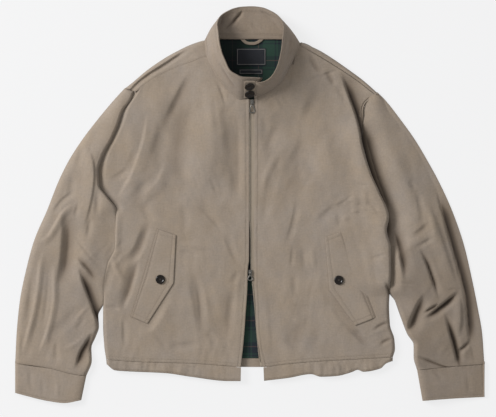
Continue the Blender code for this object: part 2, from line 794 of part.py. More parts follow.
def make_cuff(name, seam, edge, finish):
    """A cuff pressed flat: a closed band whose lower half lies on the surface."""
    seam_curve, edge_curve = curve([row[:2] for row in seam]), curve(edge)
    shares = cuts(CUFF_COLUMNS, CUFF_LENGTH, CUFF_CURL, CUFF_CURL)
    ring = [(u, 1) for u in shares] + [(u, -1) for u in reversed(shares[1:-1])]
    rows = []
    for t in CUFF_SHARES:
        row = []
        for u, side in ring + ring[:1]:
            a, b = seam_curve(u), edge_curve(u)
            x, y = a[0] + (b[0] - a[0]) * t, a[1] + (b[1] - a[1]) * t
            swell = 1 - rounding(min(u, 1 - u) * CUFF_LENGTH, CUFF_CURL)
            row.append((x, y, CUFF_HEIGHT / 2 * (1 + side * swell)))
        rows.append(row)
    bm = grid_mesh(rows)
    bmesh.ops.remove_doubles(bm, verts=bm.verts, dist=0.001)
    bmesh.ops.reverse_faces(bm, faces=bm.faces)
    placed = add_object(name, bm, finish)
    placed.data.shade_smooth()
    add_wall(placed, BAND_CLOTH, -1.0)
    return placed


def inset(points, away):
    """Points drawn towards the middle line."""
    return [(x - math.copysign(away, x), y) for x, y in points]


def make_back(shell, tartan):
    """Flat back with the shoulder parts that wrap forward, its hem band and its lining."""
    side_right, side_left = sampled(FRONT_RIGHT_SIDE, 26, 0.04), sampled(FRONT_LEFT_SIDE, 26, 0.03)
    top_right, top_left = sampled(SHOULDER_FOLD_RIGHT, 8), sampled(SHOULDER_FOLD_LEFT, 8)
    outline = BACK_HEM_SEAM[1:2] + side_left
    outline += [(x - FOLD_INSET, y - FOLD_INSET) for x, y in top_left[1:]] + NECK_BACK[::-1]
    outline += [(x + FOLD_INSET, y - FOLD_INSET) for x, y in reversed(top_right)] + side_right[::-1]
    back = slab("back", outline, 0, CLOTH, shell)
    wraps = {
        "shoulder_right": (SHOULDER_SEAM_RIGHT, SHOULDER_FOLD_RIGHT, SHOULDER_ROWS_RIGHT),
        "shoulder_left": (SHOULDER_SEAM_LEFT[::-1], SHOULDER_FOLD_LEFT[::-1], SHOULDER_ROWS_LEFT),
    }
    for name, (seam, fold, steps) in wraps.items():
        lower = [(x, y + WRAP_STEP, 0, 0) for x, y in seam]
        ends = [[lower[i], (*fold[i][:2], 0, 0)] for i in (0, -1)]
        rows = panel(
            lower, fold, *ends,
            lambda x, y, u, v: body_height(x, y) + fold_height(x, y, SHOULDER_FOLDS),
            cuts(SHOULDER_COLUMNS, 1), cuts(steps, SHOULDER_ROW * steps, 0, fold[3][3]),
        )
        join(back, sheet(name, rows, CLOTH, shell), "UNION")
    hem = [(x, y - GAP) for x, y in BACK_HEM_SEAM]
    slab("hem_back", hem + BACK_HEM_EDGE[::-1], 0, CLOTH, shell)
    lining = inset(sampled(FRONT_LEFT_SIDE, 18, 0.0, 0.9), LINING_INSET) + LINING_TOP
    lining += inset(sampled(FRONT_RIGHT_SIDE, 18, 0.0, 0.95)[::-1], LINING_INSET)
    lining = [(x, max(y, LINING_LOW)) for x, y in lining]
    slab("back_lining", lining, CLOTH + GAP, LINING, tartan)


def join(placed, helper, operation):
    """Add a helper body to an object, or cut it away, and keep the helper out of the result."""
    helper.hide_render = True
    helper.display_type = "WIRE"
    joined = placed.modifiers.new(helper.name, "BOOLEAN")
    joined.operation = operation
    joined.object = helper


def band_point(rows, share, v):
    """A point of the collar and the way out of its surface there."""
    here, later = curve(rows)(share), curve(rows)(min(1.0, share + 0.01))
    earlier = curve(rows)(max(0.0, share - 0.01))
    low, high = Vector(here[:3]), Vector(here[3:])
    way = (Vector(later[:3]) + Vector(later[3:])) - (Vector(earlier[:3]) + Vector(earlier[3:]))
    out = (high - low).cross(way).normalized()
    swell = COLLAR_SWELL * math.sin(math.pi * v)
    return low.lerp(high, v) + out * swell, out, (high - low).normalized()


def make_band(name, rows, stations, finish):
    """A stretch of the collar as a wall on its own middle surface."""
    shares = [i / (stations - 1) for i in range(stations)]
    levels = [BAND_LIFT + (1 - BAND_LIFT) * i / 5 for i in range(6)]
    points = [[tuple(band_point(rows, share, v)[0]) for share in shares] for v in levels]
    return sheet(name, points, COLLAR_CLOTH, finish, 0.0)


def make_button(name, place, out, up, finish):
    """A turned button with a raised rim, standing on a surface."""
    r, h = BUTTON_WIDTH / 2, BUTTON_HEIGHT
    bm = bmesh.new()
    verts = [bm.verts.new((x * r, 0, z * h)) for x, z in BUTTON_PROFILE]
    edges = [bm.edges.new(pair) for pair in zip(verts, verts[1:])]
    bmesh.ops.spin(
        bm, geom=verts + edges, axis=(0, 0, 1), steps=BUTTON_STEPS, angle=2 * math.pi, use_merge=True,
    )
    bmesh.ops.remove_doubles(bm, verts=bm.verts, dist=0.001)
    bmesh.ops.recalc_face_normals(bm, faces=bm.faces)
    placed = add_object(name, bm, finish)
    placed.data.shade_smooth()
    place_on(placed, place, out, up)
    return placed


def surface_frame(x, y, height):
    """Point of a height field, its normal and its way up the cloth."""
    step = 2.0
    slope_x = (height(x + step, y) - height(x - step, y)) / (2 * step)
    slope_y = (height(x, y + step) - height(x, y - step)) / (2 * step)
    out = Vector((-slope_x, -slope_y, 1)).normalized()
    return Vector((x, y, height(x, y))), out, Vector((0, 1, slope_y)).normalized()


def make_flap(name, flap, spot, finish, horn):
    """A slanted pocket flap lying on its front, and the button that holds it."""
    free = flap["free"]
    along = snap(cuts(FLAP_ROWS, 1), 1 - corner_share(free, 1))
    rows = []
    for v in along:
        a, b = straight(flap["sewn"][::-1], v), straight(free[::-1], v)
        rows.append([(a[0] + (b[0] - a[0]) * i / 5, a[1] + (b[1] - a[1]) * i / 5) for i in range(6)])
    if free[0][0] > 0:
        rows = [row[::-1] for row in rows]
    lift = FLAP_GAP + FLAP_CLOTH
    points = [[(x, y, body_height(x, y) + lift) for x, y in row] for row in rows]
    sheet(name, points, FLAP_CLOTH, finish)
    place, out, up = surface_frame(*spot, lambda x, y: body_height(x, y) + lift)
    make_button(name.replace("flap", "flap_button"), place + out * GAP, out, up, horn)


def straight(rows, share):
    """A point on a line of straight stretches, by the share of its length."""
    lengths = [math.dist(a[:2], b[:2]) for a, b in zip(rows, rows[1:])]
    along = share * sum(lengths)
    for a, b, length in zip(rows, rows[1:], lengths):
        if along <= length + 1e-9:
            return [p + (q - p) * along / length for p, q in zip(a, b)]
        along -= length
    return rows[-1]


def tape_height(x, y):
    return neck_height(x, y) - TAPE_SINK


def make_tape(name, edge, sign, finish):
    """One zip tape under its front, cut to follow the opening."""
    read = curve(edge)
    rows = []
    for share in cuts_to_neck(TAPE_ROWS):
        x, y = read(share)
        spots = [x + sign * TAPE_WIDTH * k / 2 for k in range(3)]
        rows.append([(spot, y, tape_height(spot, y)) for spot in (spots if sign > 0 else spots[::-1])])
    return sheet(name, rows, TAPE, finish)


def box_mesh(bm, low, high):
    made = bmesh.ops.create_cube(bm, size=1)["verts"]
    for vert in made:
        vert.co = [low[k] if vert.co[k] < 0 else high[k] for k in range(3)]
    return made


def place_on(placed, place, out, up):
    side = up.cross(out).normalized()
    turn = Matrix((side, out.cross(side), out)).transposed().to_4x4()
    placed.matrix_world = Matrix.Translation(place * MM) @ turn


def make_slider(name, spot, direction, finish):
    """Slider with a bridge for its pull: direction is 1 where its nose points to the collar."""
    place, out, up = surface_frame(*spot, tape_height)
    half, length = SLIDER_WIDTH / 2, SLIDER_LENGTH / 2
    bm = bmesh.new()
    corners = [(x * half, y * length * direction, 0) for x, y in SLIDER_OUTLINE]
    raise_face(bm, bm.faces.new([bm.verts.new(corner) for corner in corners]), SLIDER_HEIGHT)
    bmesh.ops.bevel(bm, geom=bm.edges[:], offset=SLIDER_BEVEL, segments=1, affect="EDGES", profile=0.5)
    body = add_object(name, bm, finish)
    place_on(body, place + out * GAP, out, up)
    low, top = SLIDER_HEIGHT - POST_SINK, SLIDER_HEIGHT + BRIDGE_ROOM
    wide, narrow = BRIDGE_THICK, BRIDGE_THICK - 0.01
    bars = {
        "post_up": ((-wide, 2.6, low), (wide, 3.9, top + 0.9)),
        "post_low": ((-wide, -3.4, low), (wide, -2.1, top + 0.9)),
        "bar": ((-narrow, -3.3, top), (narrow, 3.8, top + BRIDGE_THICK)),
    }
    for part, (near, far) in bars.items():
        bm = bmesh.new()
        box_mesh(bm, near, far)
        piece = add_object(name + "_" + part, bm, finish)
        place_on(piece, place + out * GAP, out, up)
        join(body, piece, "UNION")
    hinge = place + out * (GAP + SLIDER_HEIGHT + BRIDGE_ROOM / 2)
    return hinge, out, up


def make_pull(name, hinge, out, up, length, finish):
    """Pull tab: a bar under the bridge, two arms and a drop with a hole, hinged on the bar."""
    outline = [
        (-PULL_ARM, PULL_EYE / 2),
        (PULL_ARM, PULL_EYE / 2),
        (PULL_ARM, -6.4),
        (PULL_NECK, -9.2),
        (PULL_NECK, -10.4),
        (PULL_DROP - 0.6, -0.64 * length),
        (PULL_DROP, -0.86 * length),
        (PULL_DROP - 1.2, -length + 0.6),
        (-PULL_DROP + 1.2, -length + 0.6),
        (-PULL_DROP, -0.86 * length),
        (-PULL_DROP + 0.6, -0.64 * length),
        (-PULL_NECK, -10.4),
        (-PULL_NECK, -9.2),
        (-PULL_ARM, -6.4),
    ]
    bm = bmesh.new()
    face = bm.faces.new([bm.verts.new((x, y, -PULL_THICK / 2)) for x, y in outline])
    raise_face(bm, face, PULL_THICK)
    pull = add_object(name, bm, finish)
    rise = GAP + SLIDER_HEIGHT + BRIDGE_ROOM / 2
    lean = math.asin((rise - PULL_THICK / 2 - PULL_CLEAR) / length)
    tilt = Matrix.Rotation(lean, 3, up.cross(out).normalized())
    place_on(pull, hinge, tilt @ out, tilt @ up)
    holes = {
        "eye": ((-2.0, -6.2, -2), (2.0, -PULL_EYE / 2, 2)),
        "hole": ((-PULL_DROP + 2, -0.86 * length, -2), (PULL_DROP - 2, -0.7 * length, 2)),
    }
    for part, (near, far) in holes.items():
        bm = bmesh.new()
        box_mesh(bm, near, far)
        cutter = add_object(name + "_" + part, bm, finish)
        place_on(cutter, hinge, tilt @ out, tilt @ up)
        join(pull, cutter, "DIFFERENCE")


def make_hanger(finish):
    """Hanging loop: a narrow band sewn in at both ends under the collar."""
    read = curve(HANGER_PATH)
    rows = [[], [], []]
    for i in range(15):
        share = i / 14
        x, y = read(share)
        later, earlier = read(min(1, share + 0.01)), read(max(0, share - 0.01))
        way = Vector((later[0] - earlier[0], later[1] - earlier[1])).normalized()
        z = HANGER_HEIGHT + HANGER_RISE * math.sin(math.pi * share)
        for k, row in enumerate(rows):
            out = (k - 1) * HANGER_WIDTH / 2
            row.append((x - way.y * out, min(y + way.x * out, HANGER_END), z))
    return sheet("hanger_loop", rows, HANGER_CLOTH, finish, 0.0)


def remove_all():
    for placed in list(bpy.data.objects):
        bpy.data.objects.remove(placed, do_unlink=True)


def highest_point(rows, place, out, reach):
    """How far a bulging band stands over a plane through one of its points, within reach of it."""
    proud = 0.0
    for i in range(21):
        for j in range(21):
            near = band_point(rows, i / 20, j / 20)[0] - place
            if (near - out * near.dot(out)).length < reach:
                proud = max(proud, near.dot(out))
    return proud


def make_collar_button(name, share, finish):
    """A button on the lapped collar end, clear of the highest point of the cloth under it."""
    place, out, up = band_point(COLLAR_TAB, TAB_BUTTON_SHARE, share)
    proud = highest_point(COLLAR_TAB, place, out, BUTTON_WIDTH / 2)
    make_button(name, place + out * (COLLAR_CLOTH / 2 + GAP + proud), out, up, finish)


def main():
    remove_all()
    shell = material("shell cotton", BEIGE, 0.8)
    inside = material("collar cotton", BEIGE_INSIDE, 0.8)
    tartan = material("tartan lining", TARTAN_GREEN, 0.85)
    navy = material("woven label", NAVY, 0.7)
    horn = material("dark horn", HORN, 0.3)
    silver = material("old silver", OLD_SILVER, 0.35, 1.0)
    tape = material("zip tape", TAPE_BEIGE, 0.8)
    right_side = (FRONT_RIGHT_SIDE, ZIP_RIGHT_EDGE, HEM_SEAM_RIGHT, SHOULDER_SEAM_RIGHT, NECK_RIGHT)
    left_side = (FRONT_LEFT_SIDE, ZIP_LEFT_EDGE, HEM_SEAM_LEFT, SHOULDER_SEAM_LEFT, NECK_LEFT)
    make_front("front_right", *right_side, shell)
    make_front("front_left", *left_side, shell)
    make_hem("hem_right", HEM_SEAM_RIGHT, HEM_EDGE_RIGHT, shell)
    make_hem("hem_left", HEM_SEAM_LEFT, HEM_EDGE_LEFT, shell)
    make_sleeve("right", SLEEVE_RIGHT_OUTER, SLEEVE_RIGHT_INNER, CUFF_SEAM_RIGHT, shell)
    make_sleeve("left", SLEEVE_LEFT_OUTER, SLEEVE_LEFT_INNER, CUFF_SEAM_LEFT, shell)
    make_cuff("cuff_right", CUFF_SEAM_RIGHT, CUFF_EDGE_RIGHT, shell)
    make_cuff("cuff_left", CUFF_SEAM_LEFT, CUFF_EDGE_LEFT, shell)
    make_back(shell, tartan)
    make_band("collar", COLLAR, COLLAR_STATIONS, inside)
    make_band("collar_tab", COLLAR_TAB, TAB_STATIONS, shell)
    make_collar_button("collar_button_upper", 0.73, horn)
    make_collar_button("collar_button_lower", 0.27, horn)
    make_flap("flap_right", FLAP_RIGHT, FLAP_BUTTON_RIGHT, shell, horn)
    make_flap("flap_left", FLAP_LEFT, FLAP_BUTTON_LEFT, shell, horn)
    make_tape("zip_tape_right", TAPE_RIGHT_EDGE, -1, tape)
    make_tape("zip_tape_left", TAPE_LEFT_EDGE, 1, tape)
    top = make_slider("slider_top", SLIDER_TOP, 1, silver)
    make_pull("pull_top", *top, PULL_TOP_LENGTH, silver)
    bottom = make_slider("slider_bottom", SLIDER_BOTTOM, -1, silver)
    make_pull("pull_bottom", *bottom, PULL_BOTTOM_LENGTH, silver)
    make_hanger(inside)
    slab("neck_label", NECK_LABEL, CLOTH + LINING + 2 * GAP, LABEL, navy)
    slab("size_label", SIZE_LABEL, CLOTH + LINING + 2 * GAP, LABEL, navy)


main()
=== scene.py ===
# Dresses a harrington jacket that lies flat on its back, closed at the neck and open below its
# bottom slider: cloth, seams, sewing, zip, buttons, labels, floor, light and camera.
# Lengths in the tables are millimetres, but those of horn, zip tooth, studio and flat sizes are metres,
# areas are m2 and the points of folds are counted in foldStep. Right and left are the wearer's, so
# right is at -x.
import json
import math

import bmesh
import bpy
from mathutils import Matrix, Vector, noise


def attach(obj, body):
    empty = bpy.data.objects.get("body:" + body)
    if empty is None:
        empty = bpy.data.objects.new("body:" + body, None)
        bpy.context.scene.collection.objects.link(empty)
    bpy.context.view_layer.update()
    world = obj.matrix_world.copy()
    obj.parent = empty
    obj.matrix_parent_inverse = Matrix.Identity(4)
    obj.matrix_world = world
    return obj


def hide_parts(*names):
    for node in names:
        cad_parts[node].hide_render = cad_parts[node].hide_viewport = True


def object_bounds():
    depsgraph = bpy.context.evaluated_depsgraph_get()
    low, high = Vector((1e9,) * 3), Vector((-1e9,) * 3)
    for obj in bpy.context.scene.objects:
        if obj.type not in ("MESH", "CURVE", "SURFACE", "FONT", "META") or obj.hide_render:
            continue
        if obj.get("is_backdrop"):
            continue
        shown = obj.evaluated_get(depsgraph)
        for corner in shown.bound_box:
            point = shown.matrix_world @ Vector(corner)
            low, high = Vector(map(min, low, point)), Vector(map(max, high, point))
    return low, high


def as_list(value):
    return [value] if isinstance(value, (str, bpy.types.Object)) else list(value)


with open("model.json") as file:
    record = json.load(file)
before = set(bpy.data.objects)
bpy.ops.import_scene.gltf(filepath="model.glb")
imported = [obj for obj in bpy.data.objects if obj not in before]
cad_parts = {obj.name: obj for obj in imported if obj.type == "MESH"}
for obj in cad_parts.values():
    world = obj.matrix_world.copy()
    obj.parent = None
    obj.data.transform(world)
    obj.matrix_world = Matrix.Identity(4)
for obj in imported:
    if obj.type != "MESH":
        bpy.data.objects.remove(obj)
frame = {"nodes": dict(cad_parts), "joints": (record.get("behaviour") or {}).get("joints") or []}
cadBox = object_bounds()
mm = 0.001

# thickness of each cloth, gaps at the seams, height of flat panels and the step of the fold tables
cloth = {
    "shell": 1.6, "band": 2.0, "collar": 2.2, "lining": 1.2, "tape": 1.0, "loop": 1.5, "label": 0.7,
    "gap": 0.3, "seamStep": 0.48, "wrapStep": 0.9, "flatHeight": 1.6, "foldStep": 2.1,
}
rim = 2.4  # lowest edge of a panel, just over the back
rimSoft = 3.3  # the same where the cloth rounds down softly
hemMouth = 10.0  # height of the hem band's open lower edge

# distances from an edge at which a panel is cut, close together where it rolls or is sewn
zipMarks = (0, 0.25, 0.7, 1.3, 2.0, 3.2, 4.5, 5.2, 6.0, 6.8, 7.6, 9.2)
seamMarks = (0, 0.25, 0.7, 1.4, 2.2, 3.4, 4.7, 5.5, 6.3, 7.4, 9.0)
endMarks = (0, 0.25, 0.7, 1.4, 2.2, 3.4)


def flatSide(rows):
    # sides that don't round down
    return [(row[0], row[1], 0, 0) for row in rows]


def rimmed(rows, low=rim):
    # sides whose cloth rounds down to one low edge: x, y and the width of the rounding
    return [(x, y, low, wide) for x, y, wide in rows]


def curve(rows):
    # smooth curve through rows of numbers, read by the share of its length in x and y
    steps = [0.0]
    for before, after in zip(rows, rows[1:]):
        steps.append(steps[-1] + math.dist(before[:2], after[:2]))
    slopes = [[(b - a) / (end - start) for a, b in zip(before, after)]
              for before, after, start, end in zip(rows, rows[1:], steps, steps[1:])]
    tangents = [slopes[0]]
    for before, after in zip(slopes, slopes[1:]):
        tangents.append([2 * a * b / (a + b) if a * b > 0 else 0.0 for a, b in zip(before, after)])
    tangents.append(slopes[-1])

    def read(share):
        along = min(max(share, 0.0), 1.0) * steps[-1]
        i = 0
        while i < len(rows) - 2 and steps[i + 1] < along:
            i += 1
        length = steps[i + 1] - steps[i]
        q = (along - steps[i]) / length
        start = (1 + 2 * q) * (1 - q) ** 2
        leave = q * (1 - q) ** 2 * length
        arrive = q * q * (q - 1) * length
        return [start * a + leave * ta + (1 - start) * b + arrive * tb
                for a, b, ta, tb in zip(rows[i], rows[i + 1], tangents[i], tangents[i + 1])]

    return read


def smooth(share):
    share = min(max(share, 0.0), 1.0)
    return share * share * (3 - 2 * share)


def ridge(away, width):
    return math.exp(-(away / width) ** 2)


def wavy(*spot):
    return noise.noise(Vector(spot))


def rounding(away, width):
    # how far a rounded edge has come down, from nought inside it to one at its end
    if width <= 0 or away >= width:
        return 0.0
    return 1 - math.sqrt(max(0.0, 1 - (1 - away / width) ** 2))


def lineMeasure(line):
    # the stretches of a line with their lengths, worked out once
    stretches, passed = [], 0.0
    for a, b in zip(line, line[1:]):
        length = math.dist(a[:2], b[:2])
        stretches.append((a[0], a[1], (b[0] - a[0]) / length, (b[1] - a[1]) / length, length, passed))
        passed += length
    return stretches, passed


def nearest(x, y, measured):
    # distance to a line, the share of it that is passed, and which side the point is on
    stretches, whole = measured
    best = (1e9, 0.0, 1.0)
    for ax, ay, dx, dy, length, passed in stretches:
        along = min(max((x - ax) * dx + (y - ay) * dy, 0.0), length)
        away = math.hypot(x - ax - along * dx, y - ay - along * dy)
        if away < best[0]:
            side = 1.0 if dx * (y - ay) - dy * (x - ax) > 0 else -1.0
            best = (away, (passed + along) / whole, side)
    return best


def rounded(line):
    # corners of a line cut twice, so that a fold bends softly
    for _ in range(2):
        softer = [line[0]]
        for (ax, ay), (bx, by) in zip(line, line[1:]):
            softer.append((0.75 * ax + 0.25 * bx, 0.75 * ay + 0.25 * by))
            softer.append((0.25 * ax + 0.75 * bx, 0.25 * ay + 0.75 * by))
        line = softer + [line[-1]]
    return line


def measureFolds(folds):
    # a fold's row: half widths to the left and to the right of the way that it runs, its height,
    # below nought in a trough, and its points x, y, x, y and so on in steps from the middle
    measured = []
    for wideLeft, wideRight, height, *steps in folds:
        spots = [round(cloth["foldStep"] * step, 1) for step in steps]
        xs, ys = spots[0::2], spots[1::2]
        reach = max(wideLeft, wideRight)
        box = (min(xs) - reach, max(xs) + reach, min(ys) - reach, max(ys) + reach)
        measured.append((lineMeasure(rounded(list(zip(xs, ys)))), wideLeft, wideRight, height, box))
    return measured


def foldsNear(x, y, folds, least=1e9):
    # what foldHeight and the painted shade of creases need of each fold that a point lies in; a fold comes up
    # from nothing over its first stretch, and ends in the same way
    for line, wideLeft, wideRight, height, (x0, x1, y0, y1) in folds:
        if height > least or x < x0 or x > x1 or y < y0 or y > y1:
            continue
        away, share, side = nearest(x, y, line)
        wide = wideLeft if side > 0 else wideRight
        if away < wide:
            steep = max(2.5, line[1] / 62)
            fade = smooth(0.04 + steep * share) * smooth(0.04 + steep * (1 - share))
            yield away, wide, min(wideLeft, wideRight), height, fade


def foldHeight(x, y, folds):
    # sum of the folds at a point: each is a soft bump across its line that fades at both ends, but
    # the wide side of a trough comes up evenly from a sharp bottom
    total = 0.0
    for away, wide, narrow, height, fade in foldsNear(x, y, folds):
        near, tip = min(1.0, math.hypot(away, 1.8) / wide), 1.8 / wide
        if height < -2 and wide > 2 * narrow:
            total += height * fade * ((1 - near) / (1 - tip)) ** 2 * (1 + 0.7 * near) / (1 + 0.7 * tip)
        else:
            total += height * fade * ((1 - near * near) / (1 - tip * tip)) ** 2
    return total


def paintedCreaseShade(x, y, folds):
    # painted shade: how deep in a sharp trough a point is, where the cloth is painted darker as shade falls
    # there
    mark = 0.0
    for away, wide, narrow, height, fade in foldsNear(x, y, folds, -2.5):
        sharp = 1 - 0.45 * smooth((narrow - 5) / 6)
        near = max(0.0, 1 - away / min(wide, 27))
        mark = max(mark, min(2.8, -height / 3.2) * sharp * fade * near ** 1.6)
    return mark


def cuts(length, step, near=(0,), far=(0,)):
    # shares of a side: given marks at both ends and even steps between them
    start, end = near[-1], length - far[-1]
    count = max(1, round((end - start) / step))
    inner = [start + (end - start) * i / count for i in range(1, count)]
    return [mark / length for mark in list(near) + inner + [length - m for m in reversed(far)]]


def curled(width):
    # marks that follow a rounded side
    return tuple(round(width * (1 - math.cos(math.pi / 2 * i / 8)), 3) for i in range(9))


def panelRows(bottom, top, left, right, height, across, along, rolls=(0, 0, 0, 0), grooves=(),
              darkening=(1, 1, 1, 1), creases=()):
    # points of a panel stretched between four sides that round down, as rows from the bottom up,
    # with rolled edges and sunk rows of stitches, and a mark of how near each point is to a seam, which also
    # paints shade into the sunk rows and the creases
    readBottom, readTop, readLeft, readRight = (curve(rows) for rows in (bottom, top, left, right))
    lows, highs = [readBottom(u) for u in across], [readTop(u) for u in across]
    c0, c1, c2, c3 = readBottom(0), readBottom(1), readTop(0), readTop(1)
    rows, marks = [], []
    for v in along:
        start, end = readLeft(v), readRight(v)
        width = math.dist(start[:2], end[:2])
        row, markRow = [], []
        for u, low, high in zip(across, lows, highs):
            x, y = (
                low[k] * (1 - v) + high[k] * v + start[k] * (1 - u) + end[k] * u
                - (c0[k] * (1 - u) + c1[k] * u) * (1 - v) - (c2[k] * (1 - u) + c3[k] * u) * v
                for k in (0, 1)
            )
            length = math.dist(low[:2], high[:2])
            aways = (v * length, (1 - v) * length, u * width, (1 - u) * width)
            rims = [(rounding(away, side[3]), side[2])
                    for away, side in zip(aways, (low, high, start, end))]
            flat = math.prod(1 - near for near, _ in rims)
            total = sum(near for near, _ in rims)
            edge = sum(near * z for near, z in rims) / total if total > 0 else 0.0
            z = height(x, y, u, v, aways) * flat + edge * (1 - flat)
            mark = max(share * rounding(away, 2.4) for away, share in zip(aways, darkening))
            z -= sum(roll * rounding(away, 2.2) for away, roll in zip(aways, rolls))
            for side, place, deep in grooves:
                near = ridge(aways[side] - place, 1.1)
                z -= deep * near
                # painted shade in the sunk row of stitches
                mark = max(mark, 0.5 * near)
            row.append((x, y, z))
            # painted shade in the creases
            markRow.append(max(mark, paintedCreaseShade(x, y, creases)))
        rows.append(row)
        marks.append(markRow)
    return rows, marks


def pointsAndMarks(across, along, spot):
    # rows of points and rows of seam marks, from a function that gives both for a place
    rows = [[spot(u, v) for u in across] for v in along]
    return [[[both[k] for both in row] for row in rows] for k in (0, 1)]


def flatPanel(bottom, top, left, right, size, steps):
    # a panel that lies flat, with the width and length that it is cut at
    wide, long = (cuts(length, step, endMarks, endMarks) for length, step in zip(size, steps))
    return panelRows(bottom, top, left, right, lambda *spot: cloth["flatHeight"], wide, long)


def gridMesh(rows, grain=None, depth=None):
    # a grid moved to the rows, with a UV map in metres along the grain and a mark of each seam, which also
    # carries painted shade
    bm = bmesh.new()
    columns = len(rows[0])
    bmesh.ops.create_grid(bm, x_segments=columns - 1, y_segments=len(rows) - 1, size=1)
    bm.verts.ensure_lookup_table()
    points = [point for row in rows for point in row]
    for vert, point in zip(bm.verts, points):
        vert.co = Vector(point) * mm
    flat = []
    if grain is None:
        middle, up = columns // 2, 0.0
        for r, row in enumerate(rows):
            if r:
                up += math.dist(row[middle], rows[r - 1][middle])
            side = [0.0]
            for a, b in zip(row, row[1:]):
                side.append(side[-1] + math.dist(a, b))
            flat += [((s - side[middle]) * mm, up * mm) for s in side]
    else:
        along, aside = math.cos(math.radians(grain)), math.sin(math.radians(grain))
        flat = [((x * along + y * aside) * mm, (y * along - x * aside) * mm) for x, y, _ in points]
    layer = bm.loops.layers.uv.new("grain")
    # the seam mark also carries painted shade in creases and hollows
    seam = bm.verts.layers.float.new("seam")
    if depth:
        for vert, mark in zip(bm.verts, [mark for row in depth for mark in row]):
            vert[seam] = mark
    for face in bm.faces:
        for loop in face.loops:
            loop[layer].uv = flat[loop.vert.index]
    return bm


def link(name, data):
    made = bpy.data.objects.new(name, data)
    bpy.context.scene.collection.objects.link(made)
    return made


def addPiece(name, bm, finish, wall=0.0, offset=-1.0):
    mesh = bpy.data.meshes.new(name)
    bm.to_mesh(mesh)
    bm.free()
    mesh.materials.append(finish)
    mesh.shade_smooth()
    piece = link(name, mesh)
    if wall:
        thick = piece.modifiers.new("wall", "SOLIDIFY")
        thick.thickness = wall * mm
        thick.offset = offset
    return piece


def dress(piece, slot, nodes=(), body="jacket"):
    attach(piece, body)
    if nodes:
        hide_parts(*nodes)


def layCloth(node, bm, wall, rests, finish=None, slot="shell_cotton", offset=-1.0, name=None, **cut):
    # a piece of cloth that stands for a node, with its wall; what it rests on and the size that it is cut to
    # are not used
    piece = addPiece((name or node) + "_cloth", bm, finish or shellCotton, wall, offset)
    dress(piece, slot, [node])
    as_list(rests)


class Value:
    # wraps a shader socket, so that sums on it add Math nodes
    def __init__(self, finish, socket):
        self.finish, self.socket = finish, socket

    def __add__(self, other):
        return self.finish.maths("ADD", self, other)

    def __sub__(self, other):
        return self.finish.maths("SUBTRACT", self, other)

    def __rsub__(self, other):
        return self.finish.maths("SUBTRACT", other, self)

    def __mul__(self, other):
        return self.finish.maths("MULTIPLY", self, other)

    def __truediv__(self, other):
        return self.finish.maths("DIVIDE", self, other)

    __radd__, __rmul__ = __add__, __mul__

    def wave(self, pitch):
        return self.finish.maths("COSINE", self * (2 * math.pi / pitch))


class Finish:
    def __init__(self, name, roughness, **constants):
        self.material = bpy.data.materials.new(name)
        self.material.use_nodes = True
        self.tree = self.material.node_tree
        self.shader = self.tree.nodes["Principled BSDF"]
        self.shader.inputs["Roughness"].default_value = roughness
        for key, value in constants.items():
            self.shader.inputs[key.replace("_", " ")].default_value = value

    def node(self, kind, settings=None, inputs=None, output=0):
        made = self.tree.nodes.new(kind)
        for key, value in (settings or {}).items():
            if key == "steps":  # colours of a ramp that don't blend
                made.color_ramp.interpolation = "CONSTANT"
                while len(made.color_ramp.elements) < len(value):
                    made.color_ramp.elements.new(0.5)
                for element, (place, colour) in zip(made.color_ramp.elements, value):
                    element.position, element.color = place, (*colour, 1)
            else:
                setattr(made, key, value)
        for key, value in (inputs or {}).items():
            if isinstance(value, Value):
                self.tree.links.new(value.socket, made.inputs[key])
            else:
                made.inputs[key].default_value = value
        return Value(self, made.outputs[output])

    def maths(self, operation, *inputs):
        return self.node("ShaderNodeMath", {"operation": operation}, dict(enumerate(inputs)))

    def mix(self, share, one, other, blend="MIX"):
        # colours: 6 and 7 are the colour sockets of a Mix node
        one, other = ((*colour, 1) if isinstance(colour, tuple) else colour for colour in (one, other))
        settings = {"data_type": "RGBA", "blend_type": blend}
        return self.node("ShaderNodeMix", settings, {0: share, 6: one, 7: other}, 2)

    def grain(self):
        # the place on the cloth, and its parts across and along the grain
        uv = self.node("ShaderNodeUVMap", {"uv_map": "grain"})
        parts = self.node("ShaderNodeSeparateXYZ", None, {0: uv}).socket.node.outputs
        return uv, Value(self, parts[0]), Value(self, parts[1])

    def place(self):
        return self.node("ShaderNodeTexCoord", None, None, 3)  # 3 is Object

    # the seam mark: darker at seams, and painted shade in creases and hollows
    def seam(self):
        return self.node("ShaderNodeAttribute", {"attribute_name": "seam"}, None, 2)

    def cloudy(self, vector, scale, detail=2.0, rough=0.5):
        if isinstance(scale, tuple):
            vector, scale = self.node("ShaderNodeMapping", None, {"Vector": vector, "Scale": scale}), 1.0
        return self.node("ShaderNodeTexNoise", None,
                         {"Vector": vector, "Scale": scale, "Detail": detail, "Roughness": rough})

    def join(self, **values):
        for key, value in values.items():
            self.tree.links.new(value.socket, self.shader.inputs[key.replace("_", " ")])
        return self.material

    def close(self, height, strength, distance, **values):
        bump = {"Strength": strength, "Distance": distance, "Height": height}
        return self.join(Normal=self.node("ShaderNodeBump", None, bump), **values)


